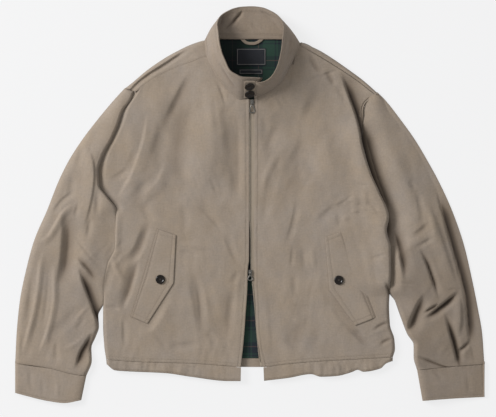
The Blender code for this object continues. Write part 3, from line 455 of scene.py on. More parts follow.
def clothFinish(name, colour, shade):
    # plain woven cotton: threads both ways, slubs, faint blotches, darker in its seams, and painted shade
    # from the seam mark in creases and hollows
    finish = Finish(name, 0.86, Sheen_Weight=0.12, Sheen_Roughness=0.5, Specular_IOR_Level=0.22)
    uv, u, v = finish.grain()
    blotch = finish.cloudy(uv, 16.0, 3.0, 0.55)
    mottle = finish.cloudy(uv, 240.0, 3.0, 0.6)
    warp = finish.cloudy(uv, (620.0, 60.0, 1.0))
    weft = finish.cloudy(uv, (60.0, 620.0, 1.0))
    speck = finish.cloudy(uv, 750.0, 2.0, 0.6)
    tone = ((blotch - 0.5) * 0.36 + (mottle - 0.5) * 0.42 + (warp - 0.5) * 0.22 + (weft - 0.5) * 0.22
            + (speck - 0.5) * 0.10)
    dark, light = tuple(c * 0.62 for c in colour), tuple(c * 1.38 for c in colour)
    plain = finish.mix(tone + 0.5, dark, light)
    hue = finish.mix(finish.cloudy(uv, 9.0, 6.0, 0.7), (1.07, 0.95, 0.76), (0.91, 0.99, 1.17))
    toned = finish.mix(0.85, plain, hue, "MULTIPLY")
    darkening = finish.seam()
    # painted shade: the seam mark mixes the cloth towards its shade colour at seams and in creases and
    # hollows
    shaded = finish.mix(darkening * 0.55, toned, shade)
    # painted shadow: marks above one take deep creases and flap edges almost to black
    deepShade = finish.mix((darkening - 1.0) * 0.6, shaded, (0.020, 0.014, 0.010))
    threads = u.wave(0.0011) * v.wave(0.0011)
    height = threads * 0.45 + warp * 0.5 + weft * 0.5 + speck * 0.5
    return finish.close(height, 0.35, 0.0004, Base_Color=deepShade)


def tartanFinish(name):
    # soft wool check: green ground, navy bands and a thin red line, woven as a twill
    finish = Finish(name, 0.9, Sheen_Weight=0.1, Sheen_Roughness=0.5, Specular_IOR_Level=0.15)
    uv, u, v = finish.grain()
    green, navy, red = (0.014, 0.040, 0.028), (0.008, 0.011, 0.019), (0.11, 0.055, 0.05)
    bands = [(0.0, green), (0.30, navy), (0.36, green), (0.42, navy), (0.60, navy), (0.66, red),
             (0.69, navy), (0.84, green)]
    sides = []
    for t, shift in ((u, 0.35), (v, 0.12)):
        turn = finish.maths("FRACT", t / 0.0546 + shift)
        sides.append(finish.node("ShaderNodeValToRGB", {"steps": bands}, {0: turn}))
    twill = finish.maths("FRACT", (u + v) / 0.0016)
    over = finish.maths("GREATER_THAN", twill, 0.5)
    woven = finish.mix(over * 0.3 + 0.35, *sides)
    fuzz = finish.cloudy(uv, 420.0, 3.0, 0.6)
    toned = finish.mix(fuzz * 0.5, woven, finish.mix(0.5, woven, (0.06, 0.075, 0.065)))
    # painted shade: the seam mark darkens the lining, most at the neck in the shadow of the collar's left
    # side
    shaded = finish.mix(finish.seam() * 0.4, toned, (0.008, 0.012, 0.012))
    return finish.close(twill * 0.6 + fuzz, 0.3, 0.0004, Base_Color=shaded)


def labelFinish(name, wide, high, centre):
    # satin woven label, bare but for a thin pale border
    finish = Finish(name, 0.6, Sheen_Weight=0.1, Specular_IOR_Level=0.3)
    uv, u, v = finish.grain()
    lines, insides = [], []
    for t, size, middle in ((u, wide, centre[0]), (v, high, centre[1])):
        away = finish.maths("ABSOLUTE", t - middle * mm)
        lines.append(finish.maths("COMPARE", away, (size / 2 - 2.2) * mm, 0.0004))
        insides.append(finish.maths("LESS_THAN", away, (size / 2 - 1.8) * mm))
    border = finish.maths("MAXIMUM", *lines) * (insides[0] * insides[1])
    fuzz = finish.cloudy(uv, 900.0)
    navy = finish.mix(fuzz, (0.006, 0.007, 0.011), (0.011, 0.013, 0.019))
    bordered = finish.mix(border * 0.75, navy, (0.26, 0.25, 0.235))
    return finish.close(u.wave(0.0005) * v.wave(0.0007) + fuzz, 0.3, 0.0003, Base_Color=bordered)


def hornFinish(name):
    finish = Finish(name, 0.3, Coat_Weight=0.08, Coat_Roughness=0.2, Specular_IOR_Level=0.25)
    streaks = finish.cloudy(finish.place(), (220.0, 60.0, 120.0), 4.0, 0.6)
    colour = finish.mix(streaks, (0.003, 0.002, 0.0015), (0.010, 0.006, 0.004))
    return finish.close(streaks, 0.15, 0.0003, Base_Color=colour, Roughness=streaks * 0.2 + 0.2)


def silverFinish(name):
    # plated metal gone slightly dull, darker where hands don't reach
    finish = Finish(name, 0.35, Metallic=1.0)
    place = finish.place()
    wear = finish.cloudy(place, 900.0, 4.0, 0.65)
    share = wear * 0.6 + finish.cloudy(place, 260.0) * 0.4
    tarnish = finish.mix(share, (0.03, 0.028, 0.025), (0.36, 0.34, 0.31))
    return finish.close(wear, 0.12, 0.0002, Base_Color=tarnish, Roughness=wear * 0.3 + 0.22)


def tapeFinish(name):
    # close woven herringbone of a zip tape
    finish = Finish(name, 0.8, Sheen_Weight=0.08, Specular_IOR_Level=0.25)
    uv, u, v = finish.grain()
    ribs = (finish.maths("PINGPONG", u, 0.0018) + v).wave(0.0012)
    fuzz = finish.cloudy(uv, 700.0)
    colour = finish.mix(ribs * 0.12 + fuzz * 0.5 + 0.25, (0.215, 0.176, 0.134), (0.325, 0.268, 0.208))
    return finish.close(ribs * 0.5 + fuzz, 0.4, 0.0003, Base_Color=colour)


def threadFinish(name, colour):
    finish = Finish(name, 0.7, Sheen_Weight=0.1)
    ply = finish.cloudy(finish.place(), 1800.0)
    twist = finish.mix(ply, tuple(c * 0.75 for c in colour), tuple(c * 1.2 for c in colour))
    return finish.close(ply, 0.3, 0.0002, Base_Color=twist)


shellCotton = clothFinish("shell cotton", (0.254, 0.210, 0.166), (0.125, 0.093, 0.067))
collarCotton = clothFinish("collar cotton", (0.232, 0.189, 0.148), (0.110, 0.082, 0.060))
tartan = tartanFinish("tartan lining")
darkHorn = hornFinish("dark horn")
oldSilver = silverFinish("old silver")
zipTape = tapeFinish("zip tape")
beigeThread = threadFinish("beige thread", (0.34, 0.285, 0.225))
brownThread = threadFinish("brown thread", (0.035, 0.024, 0.018))
coilFinish = threadFinish("zip coil", (0.26, 0.22, 0.17))
print("finishes made")

# size and step of a front's grid, how high the body lies and how it rises towards the neck
torso = {
    "cut": (292, 590), "step": 2.5, "height": 12.5, "least": 5.4,
    "neckFront": 27.5, "neckSink": 0.6, "neckReach": 104.0, "neckStart": 120,
}
rightFront = {
    "side": rimmed([
        (-302, -324, 8), (-306, -296, 8), (-308.5, -250, 8), (-308, -210, 8), (-306, -160, 9),
        (-299, -122, 9), (-285, -90, 9), (-283, -42, 10), (-280, -11, 12),
    ]) + rimmed([
        (-296, 18, 18), (-313, 42, 20), (-315, 70, 20), (-306, 103, 20), (-289, 136, 18),
    ], rimSoft) + rimmed([(-275, 166, 14), (-265, 196, 12), (-246, 224, 10), (-240, 236, 8)]),
    "zipEdge": flatSide([
        (-19, -340.5), (-17, -321), (-14, -294), (-10.5, -252), (-8.4, -220), (-5.6, -178),
        (-4.8, -150), (-4.2, -132), (-2, -116), (-1.4, -54), (-1.2, 40), (-1.2, 222),
    ]),
    "hemSeam": flatSide([(-302, -324), (-231, -329), (-126, -332), (-42, -338), (-19, -340.5)]),
    "hemEdge": rimmed([
        (-301, -334, 5), (-283, -347, 6), (-259, -349, 6), (-176, -353, 6), (-124, -360.5, 6),
        (-44, -369.5, 6), (-19.6, -369.5, 5),
    ], hemMouth),
    "shoulderSeam": [(-240, 236), (-189, 270), (-147, 290), (-116, 301.5), (-89, 311)],
    "shoulderFold": rimmed([
        (-262, 245, 8), (-248, 256, 9), (-216, 283, 10), (-178, 309, 10), (-149, 325, 10),
        (-126, 336, 9), (-101, 344.5, 8),
    ], 1),
    "neck": [
        (-89, 311), (-87, 304.5), (-77, 283.5), (-64, 262.5), (-50, 246), (-36, 232), (-19, 221.8),
    ],
    "areas": {"front": 0.176, "hem": 0.0078},
}
leftFront = {
    "side": rimmed([
        (300, -319, 8), (304.5, -302, 8), (303, -281, 8), (294, -252, 8), (288, -210, 8),
        (283, -176, 8), (295, -139, 9), (296, -90, 9), (287.5, -53, 9), (292, -26, 9), (272, 27, 9),
        (254.5, 66, 10), (240, 114, 11), (235, 141, 14),
    ]) + rimmed([(238, 164, 22), (236, 196, 34), (240, 212, 34), (265, 229, 26)], rimSoft),
    "zipEdge": flatSide([
        (28.2, -340.5), (22, -315), (17.8, -294), (13.8, -262), (12.2, -220), (10, -178),
        (9, -140), (8.6, -54), (8.8, 40), (9, 227.6),
    ]),
    "hemSeam": flatSide([(28.2, -340.5), (73, -334), (147, -327.5), (231, -323), (300, -319)]),
    "hemEdge": rimmed([
        (29.6, -369, 5), (80, -363, 6), (128, -355, 6), (149, -360.5, 6), (181, -359, 6),
        (213, -351, 6), (226, -346, 6), (238, -350, 6), (274, -343, 6), (285, -333, 6),
        (299.5, -327, 5),
    ], hemMouth),
    "shoulderSeam": [(265, 229), (222, 262.5), (168, 297.5), (128, 321), (103.6, 334)],
    "shoulderFold": rimmed([
        (270, 233, 5), (237, 262, 5), (208, 283.5, 5), (172, 308.5, 5), (145, 325, 5), (107.5, 342, 5),
    ], 1),
    "neck": [
        (103.6, 334), (99, 317), (90, 301), (82, 286), (72.5, 269), (60, 253), (42, 240), (25, 232),
    ],
    "areas": {"front": 0.164, "hem": 0.0080},
}
# the side swells over the recess under the arm
leftFront["side"] = [(x + 11 * ridge(y + 180, 30), y, z, w) for x, y, z, w in leftFront["side"]]
fronts = {"right": rightFront, "left": leftFront}

# lower edge x, y, z and upper edge x, y, z, from the collar's right end round the back
collar = {
    "band": [
        (-3, 226.5, 25.5, 26, 265, 61), (-10, 224, 26, 6, 266.5, 65), (-19, 222, 26.6, -15, 267.5, 67.5),
        (-36, 232, 26.5, -29, 273, 69), (-50, 246, 26, -42, 282, 69), (-64, 262.5, 25.5, -52, 302, 69),
        (-77, 283.5, 25, -59, 320, 67), (-87, 304.5, 23.5, -64, 341, 63), (-92, 325.5, 20, -66, 360, 55),
        (-93.5, 344, 15, -68, 379, 43), (-88, 354, 11, -62, 395, 30), (-76, 354, 8, -49, 405, 22),
        (-52, 351.5, 6, -31.5, 413, 16), (-21, 351.5, 5.4, -15, 416, 13), (6, 352, 5.2, 4, 416.8, 12),
        (34, 351.5, 5.4, 25, 414.5, 13.5), (65, 351, 6.5, 43, 407, 17), (88, 350, 10, 58, 397, 24),
        (101, 344, 14, 67, 385, 33), (103.5, 331, 18, 70, 370, 46), (99, 317, 21, 68.5, 351, 57),
        (90, 301, 24, 66, 328, 65), (82, 286, 26, 62, 307, 69), (72.5, 269, 27, 56, 287, 70),
        (60, 253, 27.5, 46, 270, 70.5), (42, 240, 28, 32.5, 259, 70.5), (25, 232, 28.5, 20, 255.6, 70.5),
        (12.2, 229, 29.5, 12.6, 258, 71),
    ],
    "tab": [
        (11.3, 229, 29.6, 11.7, 258.1, 71), (2, 226, 31.4, 2, 258.4, 71.8),
        (-8, 223, 32, -8.6, 258.4, 71.6), (-12.5, 224.4, 33.4, -12.8, 256, 69.4),
    ],
    "lift": 0.034, "swell": 2.0, "tall": 38, "sewn": (4.2, 5.2),
}
flaps = {
    "right": {"sewn": [(-196, -49), (-251, -234)], "free": [(-155, -63), (-160, -164), (-215, -249)],
              "sink": 0.7, "area": 0.0110},
    "left": {"sewn": [(196, -53), (264, -236)], "free": [(157, -68), (166, -178), (221, -253)],
             "sink": 1.9, "area": 0.0118},
    "long": 192, "wide": 50, "lift": 2.55, "wall": 2.0,
}
flapRings = []
for side in ("right", "left"):
    corners = flaps[side]["sewn"] + flaps[side]["free"][::-1]
    ring = corners + corners[:1]
    flapRings.append((ring, lineMeasure(ring)))

neckEnds = [(*front["zipEdge"][-1][:2], torso["neckFront"]) for front in fronts.values()]
neckSeam = [neckEnds[0], *(row[:3] for row in collar["band"][2:-1]), neckEnds[1]]
neckLine, readNeck = lineMeasure(neckSeam), curve(neckSeam)

# folds of the fronts, hem bands and flaps, in rows that measureFolds explains
frontFolds = measureFolds([
    (28.6, 12, -3.79, -56, 135, -70, 109, -86, 77), (27, 15, -2.4, -85, 83, -90, 67, -98, 41),
    (30, 60, 2.62, -78, 119, -90, 93, -100, 73),
    (42, 5, 3.91, -102, 93, -104, 75, -108, 57, -119, 27, -134, 2),
    (10.5, 9, -1.33, -114, 57, -117, 47, -122, 37), (7.5, 10.5, -1.52, -141, 24, -130, 30, -119, 38),
    (21, 18, -1.52, -75, 51, -66, 29, -59, 9), (24, 9, 2.4, -83, 49, -87, 29, -98, 15, -119, 1),
    (27, 18, -1.9, -31, 119, -22, 87, -17, 40), (21, 13.5, -1.9, -17, 47, -14, 23, -14, -1),
    (12, 18, 1.52, -41, 115, -40, 93, -37, 69), (9, 7.5, -1.14, -40, 28, -36, 19, -32, 11),
    (13.5, 7.5, -1.71, -53, 1, -38, -13, -24, -31), (13.5, 9, -1.9, -24, -28, -19, -44, -10, -62),
    (15, 13.5, -2.4, -110, 3, -103, -7, -97, -19),
    (14.3, 15, -5.52, -100, -15, -106, -33, -112, -47, -125, -59),
    (13.5, 5.2, 2.4, -132, -5, -133, -25, -134, -43, -137, -53),
    (12, 5.2, 2.62, -138, -50, -136, -61, -131, -70, -125, -76),
    (9.1, 24, -6.44, -111, -52, -117, -73, -122, -90, -130, -106),
    (6, 7.5, -1.71, -146, -101, -138, -102, -129, -104), (13.5, 9, -2.4, -138, -57, -143, -75, -146, -95),
    (9, 7.5, 1.9, -73, -38, -55, -41, -37, -45), (6, 9, -1.52, -73, -45, -60, -48, -49, -52),
    (21, 13.5, -2.94, -61, -65, -54, -87, -50, -113, -45, -137),
    (12, 10.5, -1.61, -10, -65, -14, -72, -19, -80), (15, 13.5, -1.52, -15, -79, -19, -103, -22, -129),
    (13.5, 12, 1.42, -8, -57, -14, -105, -20, -152), (10.5, 13.5, -1.52, -85, -141, -66, -141, -47, -138),
    (13.5, 6, -2.4, -126, -110, -126, -125, -125, -143), (12, 9, -1.14, -44, -125, -38, -133, -35, -145),
    (12, 9, -1.33, -100, -125, -90, -133, -82, -147), (13.5, 12, -1.23, -69, 5, -64, -11, -66, -31),
    (15, 12, -1.23, -45, -77, -38, -95, -36, -117), (15, 9, 1.52, 47, 145, 43, 125, 39, 104),
    (21, 18, -1.9, 69, 121, 63, 102, 54, 82), (24, 15, -1.61, 56, 77, 51, 55, 34, 32),
    (15, 12, -1.52, 28, 84, 22, 67, 15, 49), (12, 12, 1.71, 29, 55, 19, 35, 9, 13),
    (21, 15, -1.8, 25, 41, 20, 19, 14, -1, 4, -26), (12, 7.5, -1.8, 47, 9, 46, -7, 41, -27, 34, -45),
    (9, 6, -1.33, 43, -41, 42, -52, 41, -64), (4.5, 6, -0.95, 47, 122, 60, 124, 72, 130),
    (10.5, 7.5, -3.06, 58, 152, 63, 141, 72, 131), (10.5, 7.5, -3.06, 75, 134, 81, 126, 85, 118),
    (12, 7.5, -1.33, 85, 119, 93, 109, 96, 99), (10.5, 18, -1.9, 63, -23, 72, -12, 86, -2, 100, 0),
    (12, 10.5, -1.8, 86, -5, 90, -16, 91, -28), (7.5, 9, 1.14, 79, 0, 95, 6, 112, 5),
    (13.5, 13.5, 1.71, 114, -27, 118, -55, 122, -88), (4.5, 7.5, -1.71, 119, -53, 127, -52, 137, -48),
    (6, 4.5, -1.33, 127, -66, 133, -69, 139, -72), (4.5, 7.5, -2.62, 122, -126, 131, -119, 141, -117),
    (4.5, 7.5, -2.84, 129, -140, 136, -135, 144, -133), (9, 6, -1.71, 122, -7, 131, -10, 138, -15),
    (15, 7.5, -2.84, 95, -113, 104, -128, 120, -143), (21, 18, -1.8, 72, -122, 65, -136, 57, -150),
    (9.1, 4, -6.32, 135, -76, 138, -85, 142, -97),
    (12, 18, -2.51, 77, -83, 88, -101, 100, -119, 112, -135), (6, 9, -1.42, 102, -2, 112, 1, 122, -1),
    (6, 9, 1.14, 90, -17, 100, -9, 110, -5), (9, 6, -1.42, 114, 7, 122, 0, 130, -9),
    (10.5, 13.5, -1.52, 40, -98, 51, -102, 64, -108), (12, 10.5, -1.23, 44, -68, 44, -80, 46, -92),
    (9, 9, 1.14, 62, -39, 63, -53, 64, -66), (10.5, 9, -1.33, 53, -41, 54, -55, 55, -68),
    (13.5, 10.5, 1.71, 14, -89, 15, -120, 17, -152), (12, 10.5, -1.33, 35, -132, 43, -140, 53, -148),
    (12, 10.5, 1.52, 100, 15, 106, 0, 102, -17), (9, 9, 1.33, 112, 20, 116, 5, 113, -9),
    (24, 21, -1.14, 80, 85, 86, 65, 88, 40),
    (80.6, 6, -13.22, 91, 135, 96, 121, 101, 107, 107, 91, 111, 75, 113, 59, 117, 43),
    (80.6, 55, -4.83, -67, 113, -70, 85, -74, 55, -74, 19),
    (44, 56, 4.6, -36, 109, -38, 75, -42, 40, -46, 9), (18, 34, -3.22, -14, 93, -12, 55, -13, 0),
    (30, 24, 2.99, -116, 45, -119, 15, -122, -9), (52, 36, 3.91, -100, -87, -97, -111, -98, -137),
    (31.2, 50, -3.68, -24, -85, -22, -113, -24, -141), (40, 40, 2.3, -46, -35, -50, -57, -54, -85),
    (50, 40, 2.76, 32, 0, 30, -35, 28, -75), (44, 34, -2.76, 50, 65, 46, 30, 38, 0),
    (50, 40, 2.53, 82, 75, 80, 40, 76, 10), (36, 30, -2.3, 95, -50, 100, -70, 106, -95),
    (40, 36, -2.76, 50, -115, 46, -130, 40, -147),
    (9, 4, -2.3, -47, 171, -44, 155, -37, 138, -27, 124, -13, 109),
    (8, 5, -1.8, -34, 125, -28, 113, -24, 97), (5, 7, -1.6, 12, 101, 20, 107, 30, 115),
    (4, 6, -1.6, 68, 127, 76, 131, 88, 135), (4, 6, -1.5, 86, -1, 96, 5, 104, 11),
    (4, 7, -1.9, 96, -11, 106, -7, 116, -11), (6, 4, -1.6, 116, -17, 124, -23, 132, -27),
    (4, 6, -1.3, 102, 25, 110, 19, 118, 21), (14, 6, -2, -54, -71, -50, -95, -48, -125),
])

# places that are more crumpled: x, y, radius, height, and the way in degrees that the creases run
crumpled = [
    (-285, -105, 60, 1.3, 60), (-262, -215, 50, 1.0, 80), (250, -5, 62, 1.5, 150),
    (285, -120, 45, 1.3, 170), (270, -262, 55, 1.4, 20), (175, 0, 40, 1.0, 40), (-235, 40, 70, 0.9, 50),
    (-225, 255, 40, 1.1, 60), (230, 222, 45, 1.2, 20), (-40, 215, 50, 0.9, 60), (60, 215, 45, 0.9, 120),
    (-70, -325, 110, 0.9, 88), (-240, -330, 60, 1.1, 80), (-360, -120, 70, 1.1, 50),
    (-330, -260, 60, 1.1, 40), (-420, -300, 60, 0.9, 80), (370, -60, 60, 1.1, 30),
    (430, -290, 60, 1.2, 50), (370, -200, 60, 1.1, 60), (-330, 90, 60, 0.8, 70), (90, 60, 90, 0.6, 60),
    (-110, 60, 100, 0.6, 110), (110, -200, 100, 0.6, 80), (-120, -130, 90, 0.6, 100),
]


def neckHeight(x, y):
    # the body comes up to the seam of the collar
    low = torso["height"]
    if y < torso["neckStart"]:
        return low
    away, share, _ = nearest(x, y, neckLine)
    if away > torso["neckReach"]:
        return low
    return low + (readNeck(share)[2] - torso["neckSink"] - low) * (1 - smooth(away / torso["neckReach"]))


def ripple(x, y, seed, long):
    # low uneven waves of cloth that has been worn and laid out by hand, and its crumpled places
    creased = 0.0
    for px, py, radius, height, way in crumpled:
        away = math.hypot(x - px, y - py)
        if away < radius:
            along, aside = math.cos(math.radians(way)), math.sin(math.radians(way))
            fine = wavy((x * along + y * aside) / 26, (y * along - x * aside) / 9.5, seed)
            creased += height * (1 - (away / radius) ** 2) ** 2 * fine
    return long * wavy((x + 0.35 * y) / 44, y / 105, seed) + 0.6 * wavy(x / 17, y / 26, seed + 7.3) + creased


def flapShare(x, y):
    # nought on a flap and one well clear of it
    share = 1.0
    for ring, measured in flapRings:
        if abs(x - ring[0][0]) > 120:
            continue
        hits = sum((ay > y) != (by > y) and x < ax + (y - ay) / (by - ay) * (bx - ax)
                   for (ax, ay), (bx, by) in zip(ring, ring[1:]))
        share *= 0.0 if hits % 2 else smooth((nearest(x, y, measured)[0] - 6) / 14)
    return share


def bodyHeight(x, y):
    # the fronts lie calm beside the zip and under the flaps
    halfGap = 6 + max(0.0, -130 - y) * 0.094
    calm = smooth((abs(x - 4) - halfGap - 8) / 16) * flapShare(x, y)
    return neckHeight(x, y) + calm * (foldHeight(x, y, frontFolds) + ripple(x, y, 1.7, 2.2))


def pucker(x, y):
    # gathers of the hem band, deeper towards the sides
    depth = smooth((-322 - y) / 22) * smooth((abs(x) - 40) / 150) * (1.0 if x > 0 else 0.7)
    return depth * (3.2 * wavy(x / 17, y / 60, 3.1) + 0.9 * wavy(x / 6.5, y / 20, 5))


def tightWaves(x, y, away, reach, size, seed):
    # little waves that a row of stitches draws up beside it
    return size * (1 - away / reach) ** 2 * wavy(x / 6.5, y / 6.5, seed) if away <= reach else 0.0


# the armholes: which piece lies on top, and between which heights up the body
arms = {
    "right": {"over": "sleeve", "low": (-25, 35), "high": (258, 12), "reach": 13.0, "dip": 6.6,
              "touch": -236, "tuck": 5.0, "press": 4.4, "meet": 10.5},
    "left": {"over": "front", "low": (-196, 34), "high": (190, 50), "reach": 66.0, "dip": 4.0,
             "touch": -200, "tuck": 7.2, "press": 5.6, "meet": 6.8},
    "under": 3.4,
    "over": 6.8,
}


def armShare(side, y):
    low, high = arms[side]["low"], arms[side]["high"]
    return smooth((y - low[0]) / low[1]) * smooth((high[0] - y) / high[1])


def armSide(side, rows, over):
    # the side that is sewn in: the one on top ends in a steep wall, the other runs on under it
    arm = arms[side]
    sleeve = over == (arm["over"] == "sleeve")
    way = 1 if sleeve == (side == "right") else -1
    low, wide, tuck = (arms["over"], 6, 0) if over else (arms["under"], 3, arm["tuck"])
    moved = []
    for x, y, z, w in rows:
        share, beside = armShare(side, y), smooth((y - arm["touch"]) / 16)
        if sleeve:
            x += way * arm["press"] * beside * (1 - share)
        if side == "left":
            head = smooth((y - 130) / 50)
            z, w = z + (bodyHeight(x, y) - 0.4 - z) * head, w + (3 - w) * head
        touch = beside * (1 - share)
        z, w = z + (arm["meet"] - z) * touch, w + (5 - w) * touch
        moved.append((x + way * tuck * share, y, z + (low - z) * share, w + (wide - w) * share))
    return moved


def armDip(side, y, away, z):
    # the lower piece comes up slowly from below the upper one
    arm, deep = arms[side], smooth((y + 110) / 50)
    reach, dip = 26 + (arm["reach"] - 26) * deep, 9.5 + (arm["dip"] - 9.5) * deep
    return z + (dip - z) * armShare(side, y) * (1 - smooth((away - 4) / reach))


def turned(pair, side):
    # a pair in the order of the piece on the right, or turned for the one on the left
    return pair if side == "right" else pair[::-1]


def snap(shares, share):
    # moves the nearest share to a corner of the panel
    spot = min(range(1, len(shares) - 1), key=lambda i: abs(shares[i] - share))
    return shares[:spot] + [share] + shares[spot + 1:]


def cornerShare(rows, corner):
    # the share of a line's length at one of its points
    lengths = [math.dist(a[:2], b[:2]) for a, b in zip(rows, rows[1:])]
    return sum(lengths[:corner]) / sum(lengths)


runs = {}  # rows of stitches, kept until all the cloth is made


def keepRun(group, points):
    # millimetre points along one row
    runs.setdefault(group, []).append(points)


def column(rows, k):
    return [row[k] for row in rows]


def makeFront(side):
    name, front, over = "front_" + side, fronts[side], arms[side]["over"] == "front"
    seam = front["shoulderSeam"]
    top, corner = flatSide(seam + front["neck"][1:] + [front["zipEdge"][-1]]), len(seam) - 1
    if side == "left":
        top, corner = top[::-1], len(top) - len(seam)
    armAt, zipAt = turned((2, 3), side)
    (wide, long), step, least = torso["cut"], torso["step"], torso["least"]
    across = cuts(wide, step, *turned((curled(9), zipMarks), side))

    def height(x, y, u, v, aways):
        waves = tightWaves(x, y * 0.5, abs(aways[zipAt] - 6), 14, 0.5, 2.2)
        waves += tightWaves(x, y, aways[0], 16, 0.5, 4.1)
        z, away = bodyHeight(x, y) + waves, aways[armAt]
        if not over:
            return max(least, armDip(side, y, away, z))
        rise = 6.5 * ridge(away - 10, 24) + 6.0 * ridge(away - 10, 80)
        return max(least, z) + rise * armShare(side, y)

    rows, marks = panelRows(
        front["hemSeam"], top, *turned((armSide(side, front["side"], over), front["zipEdge"]), side), height,
        snap(across, cornerShare(top, corner)), cuts(long, step, seamMarks, endMarks),
        (0.2, 0.25, *turned((0, 0.9), side)), ((zipAt, 6.0, 0.35), (0, 1.4, 0.18), (0, 6.3, 0.3)),
        (0.2, 0.4, 1, 1), frontFolds,
    )
    layCloth(name, gridMesh(rows, 0, marks), cloth["shell"], ["back_lining", "back"], flat=(0.31, 0.70),
             area=front["areas"]["front"])
    sewn = zipMarks.index(6.0)
    keepRun(name, column(rows, -1 - sewn if side == "right" else sewn))
    for place in (6.3, 1.4):
        keepRun(name, rows[seamMarks.index(place)])


hem = {"cut": (284, 30), "steps": (2.2, 1.6)}


def makeHem(side):
    name, front = "hem_" + side, fronts[side]
    upper = [(x, y - cloth["seamStep"], 0, 0) for x, y, _, _ in front["hemSeam"]]
    ends = [[(*row[i][:2], rim, curl) for row in (front["hemEdge"], upper)]
            for i, curl in zip((0, -1), turned((8, 0), side))]
    lowMarks = (0, 0.4, 1.0, 1.8, 2.8, 3.6, 4.4, 5.4, 6.4)

    def height(x, y, u, v, aways):
        waves = tightWaves(x, y, aways[1], 18, 0.7, 6.3) + tightWaves(x, y, aways[0], 12, 0.5, 9.1)
        return bodyHeight(x, y) + pucker(x, y) + waves

    across = cuts(hem["cut"][0], hem["steps"][0], *turned((curled(8), (0, 0.3, 0.9, 2.0)), side))
    rows, marks = panelRows(
        front["hemEdge"], upper, *ends, height, across,
        cuts(hem["cut"][1], hem["steps"][1], lowMarks, endMarks[:5]), (0, 0.2, 0, 0), ((0, 3.6, 0.25),),
        (1, 0.2, 1, 1),
    )
    layCloth(name, gridMesh(rows, 0, marks), cloth["band"], ["hem_back", "back_lining"], flat=(0.30, 0.036),
             area=front["areas"]["hem"])
    keepRun(name, rows[lowMarks.index(3.6)])


# darkening: painted shade on the lower sleeve and the cuff, stronger on the left sleeve, which slopes away
# from the light
sleeves = {
    "right": {
        "outer": rimmed([(-265, 241.5, 7)], rimSoft) + rimmed([
            (-286, 220, 10), (-321, 178, 14), (-353, 136, 15), (-380, 94, 15), (-401, 52, 15),
            (-426, -11, 15), (-453, -74, 14), (-470, -136, 13), (-483, -200, 12), (-490, -270, 10),
            (-493, -332, 8),
        ]),
        "inner": rimmed([(-246, 234, 7)], rimSoft) + rimmed([
            (-249, 222, 10), (-267, 196, 12), (-277.5, 166, 14), (-291, 136, 14), (-308.5, 103, 14),
            (-317.5, 70, 14), (-315.5, 41, 14), (-298.5, 16.5, 14), (-283, -11, 14), (-285.5, -42, 14),
            (-287.5, -90, 14), (-302, -122, 12), (-309, -160, 12), (-311, -205, 11), (-319, -232, 10),
            (-317, -255, 9), (-324, -277, 9), (-333, -300, 9), (-332, -326, 8), (-343.5, -358.5, 7),
        ]),
        "cuffSeam": flatSide([(-493, -332), (-423, -342), (-370, -355), (-343.5, -358.5)]),
        "cuffEdge": [(-493, -394.5), (-420, -412), (-389.5, -415.6), (-354, -409.5)],
        "grain": -15.5, "tilt": 0.22, "darkening": 0.12,
        "areas": {"top": 0.081, "under": 0.077, "cuff": 0.0190},
    },
    "left": {
        "outer": rimmed([(270.6, 232, 6)], rimSoft) + rimmed([
            (285, 219, 10), (317, 178, 14), (347, 136, 15), (372, 94, 15), (395, 52, 15), (424, -11, 15),
            (449, -83, 14), (464, -146, 13), (479, -220, 12), (487.5, -270, 10), (492, -334, 8),
        ]),
        "inner": rimmed([
            (266, 228.2, 8), (242, 211.8, 16), (237.6, 196, 26), (239.6, 164, 36), (236.8, 141, 44),
            (241.8, 114, 44), (258, 66, 40), (276, 27, 34), (296, -26, 26), (292, -53, 22),
        ], rimSoft) + rimmed([
            (299, -90, 15), (298, -139, 12), (297, -180, 10), (304.5, -202, 9), (317.5, -239, 9),
            (330, -271, 9), (343.5, -294, 9), (343.5, -319, 8), (350.5, -346, 7),
        ]),
        "cuffSeam": flatSide([(350.5, -346), (385, -342.5), (420, -339), (492, -334)]),
        "cuffEdge": [(362, -411), (400, -408), (430, -406), (492, -403)],
        "grain": 15.5, "tilt": 0.8, "darkening": 0.46,
        "areas": {"top": 0.084, "under": 0.080, "cuff": 0.0188},
    },
    "cut": (160, 640), "step": 2.5, "crown": 0.14, "full": 1.15, "least": 3.6,
    "heights": [(0, 9), (0.15, 12), (0.35, 14.5), (0.6, 15.5), (0.85, 13.5), (1, 11)],
}
cuff = {"wide": 140, "long": 64, "height": 10.5}
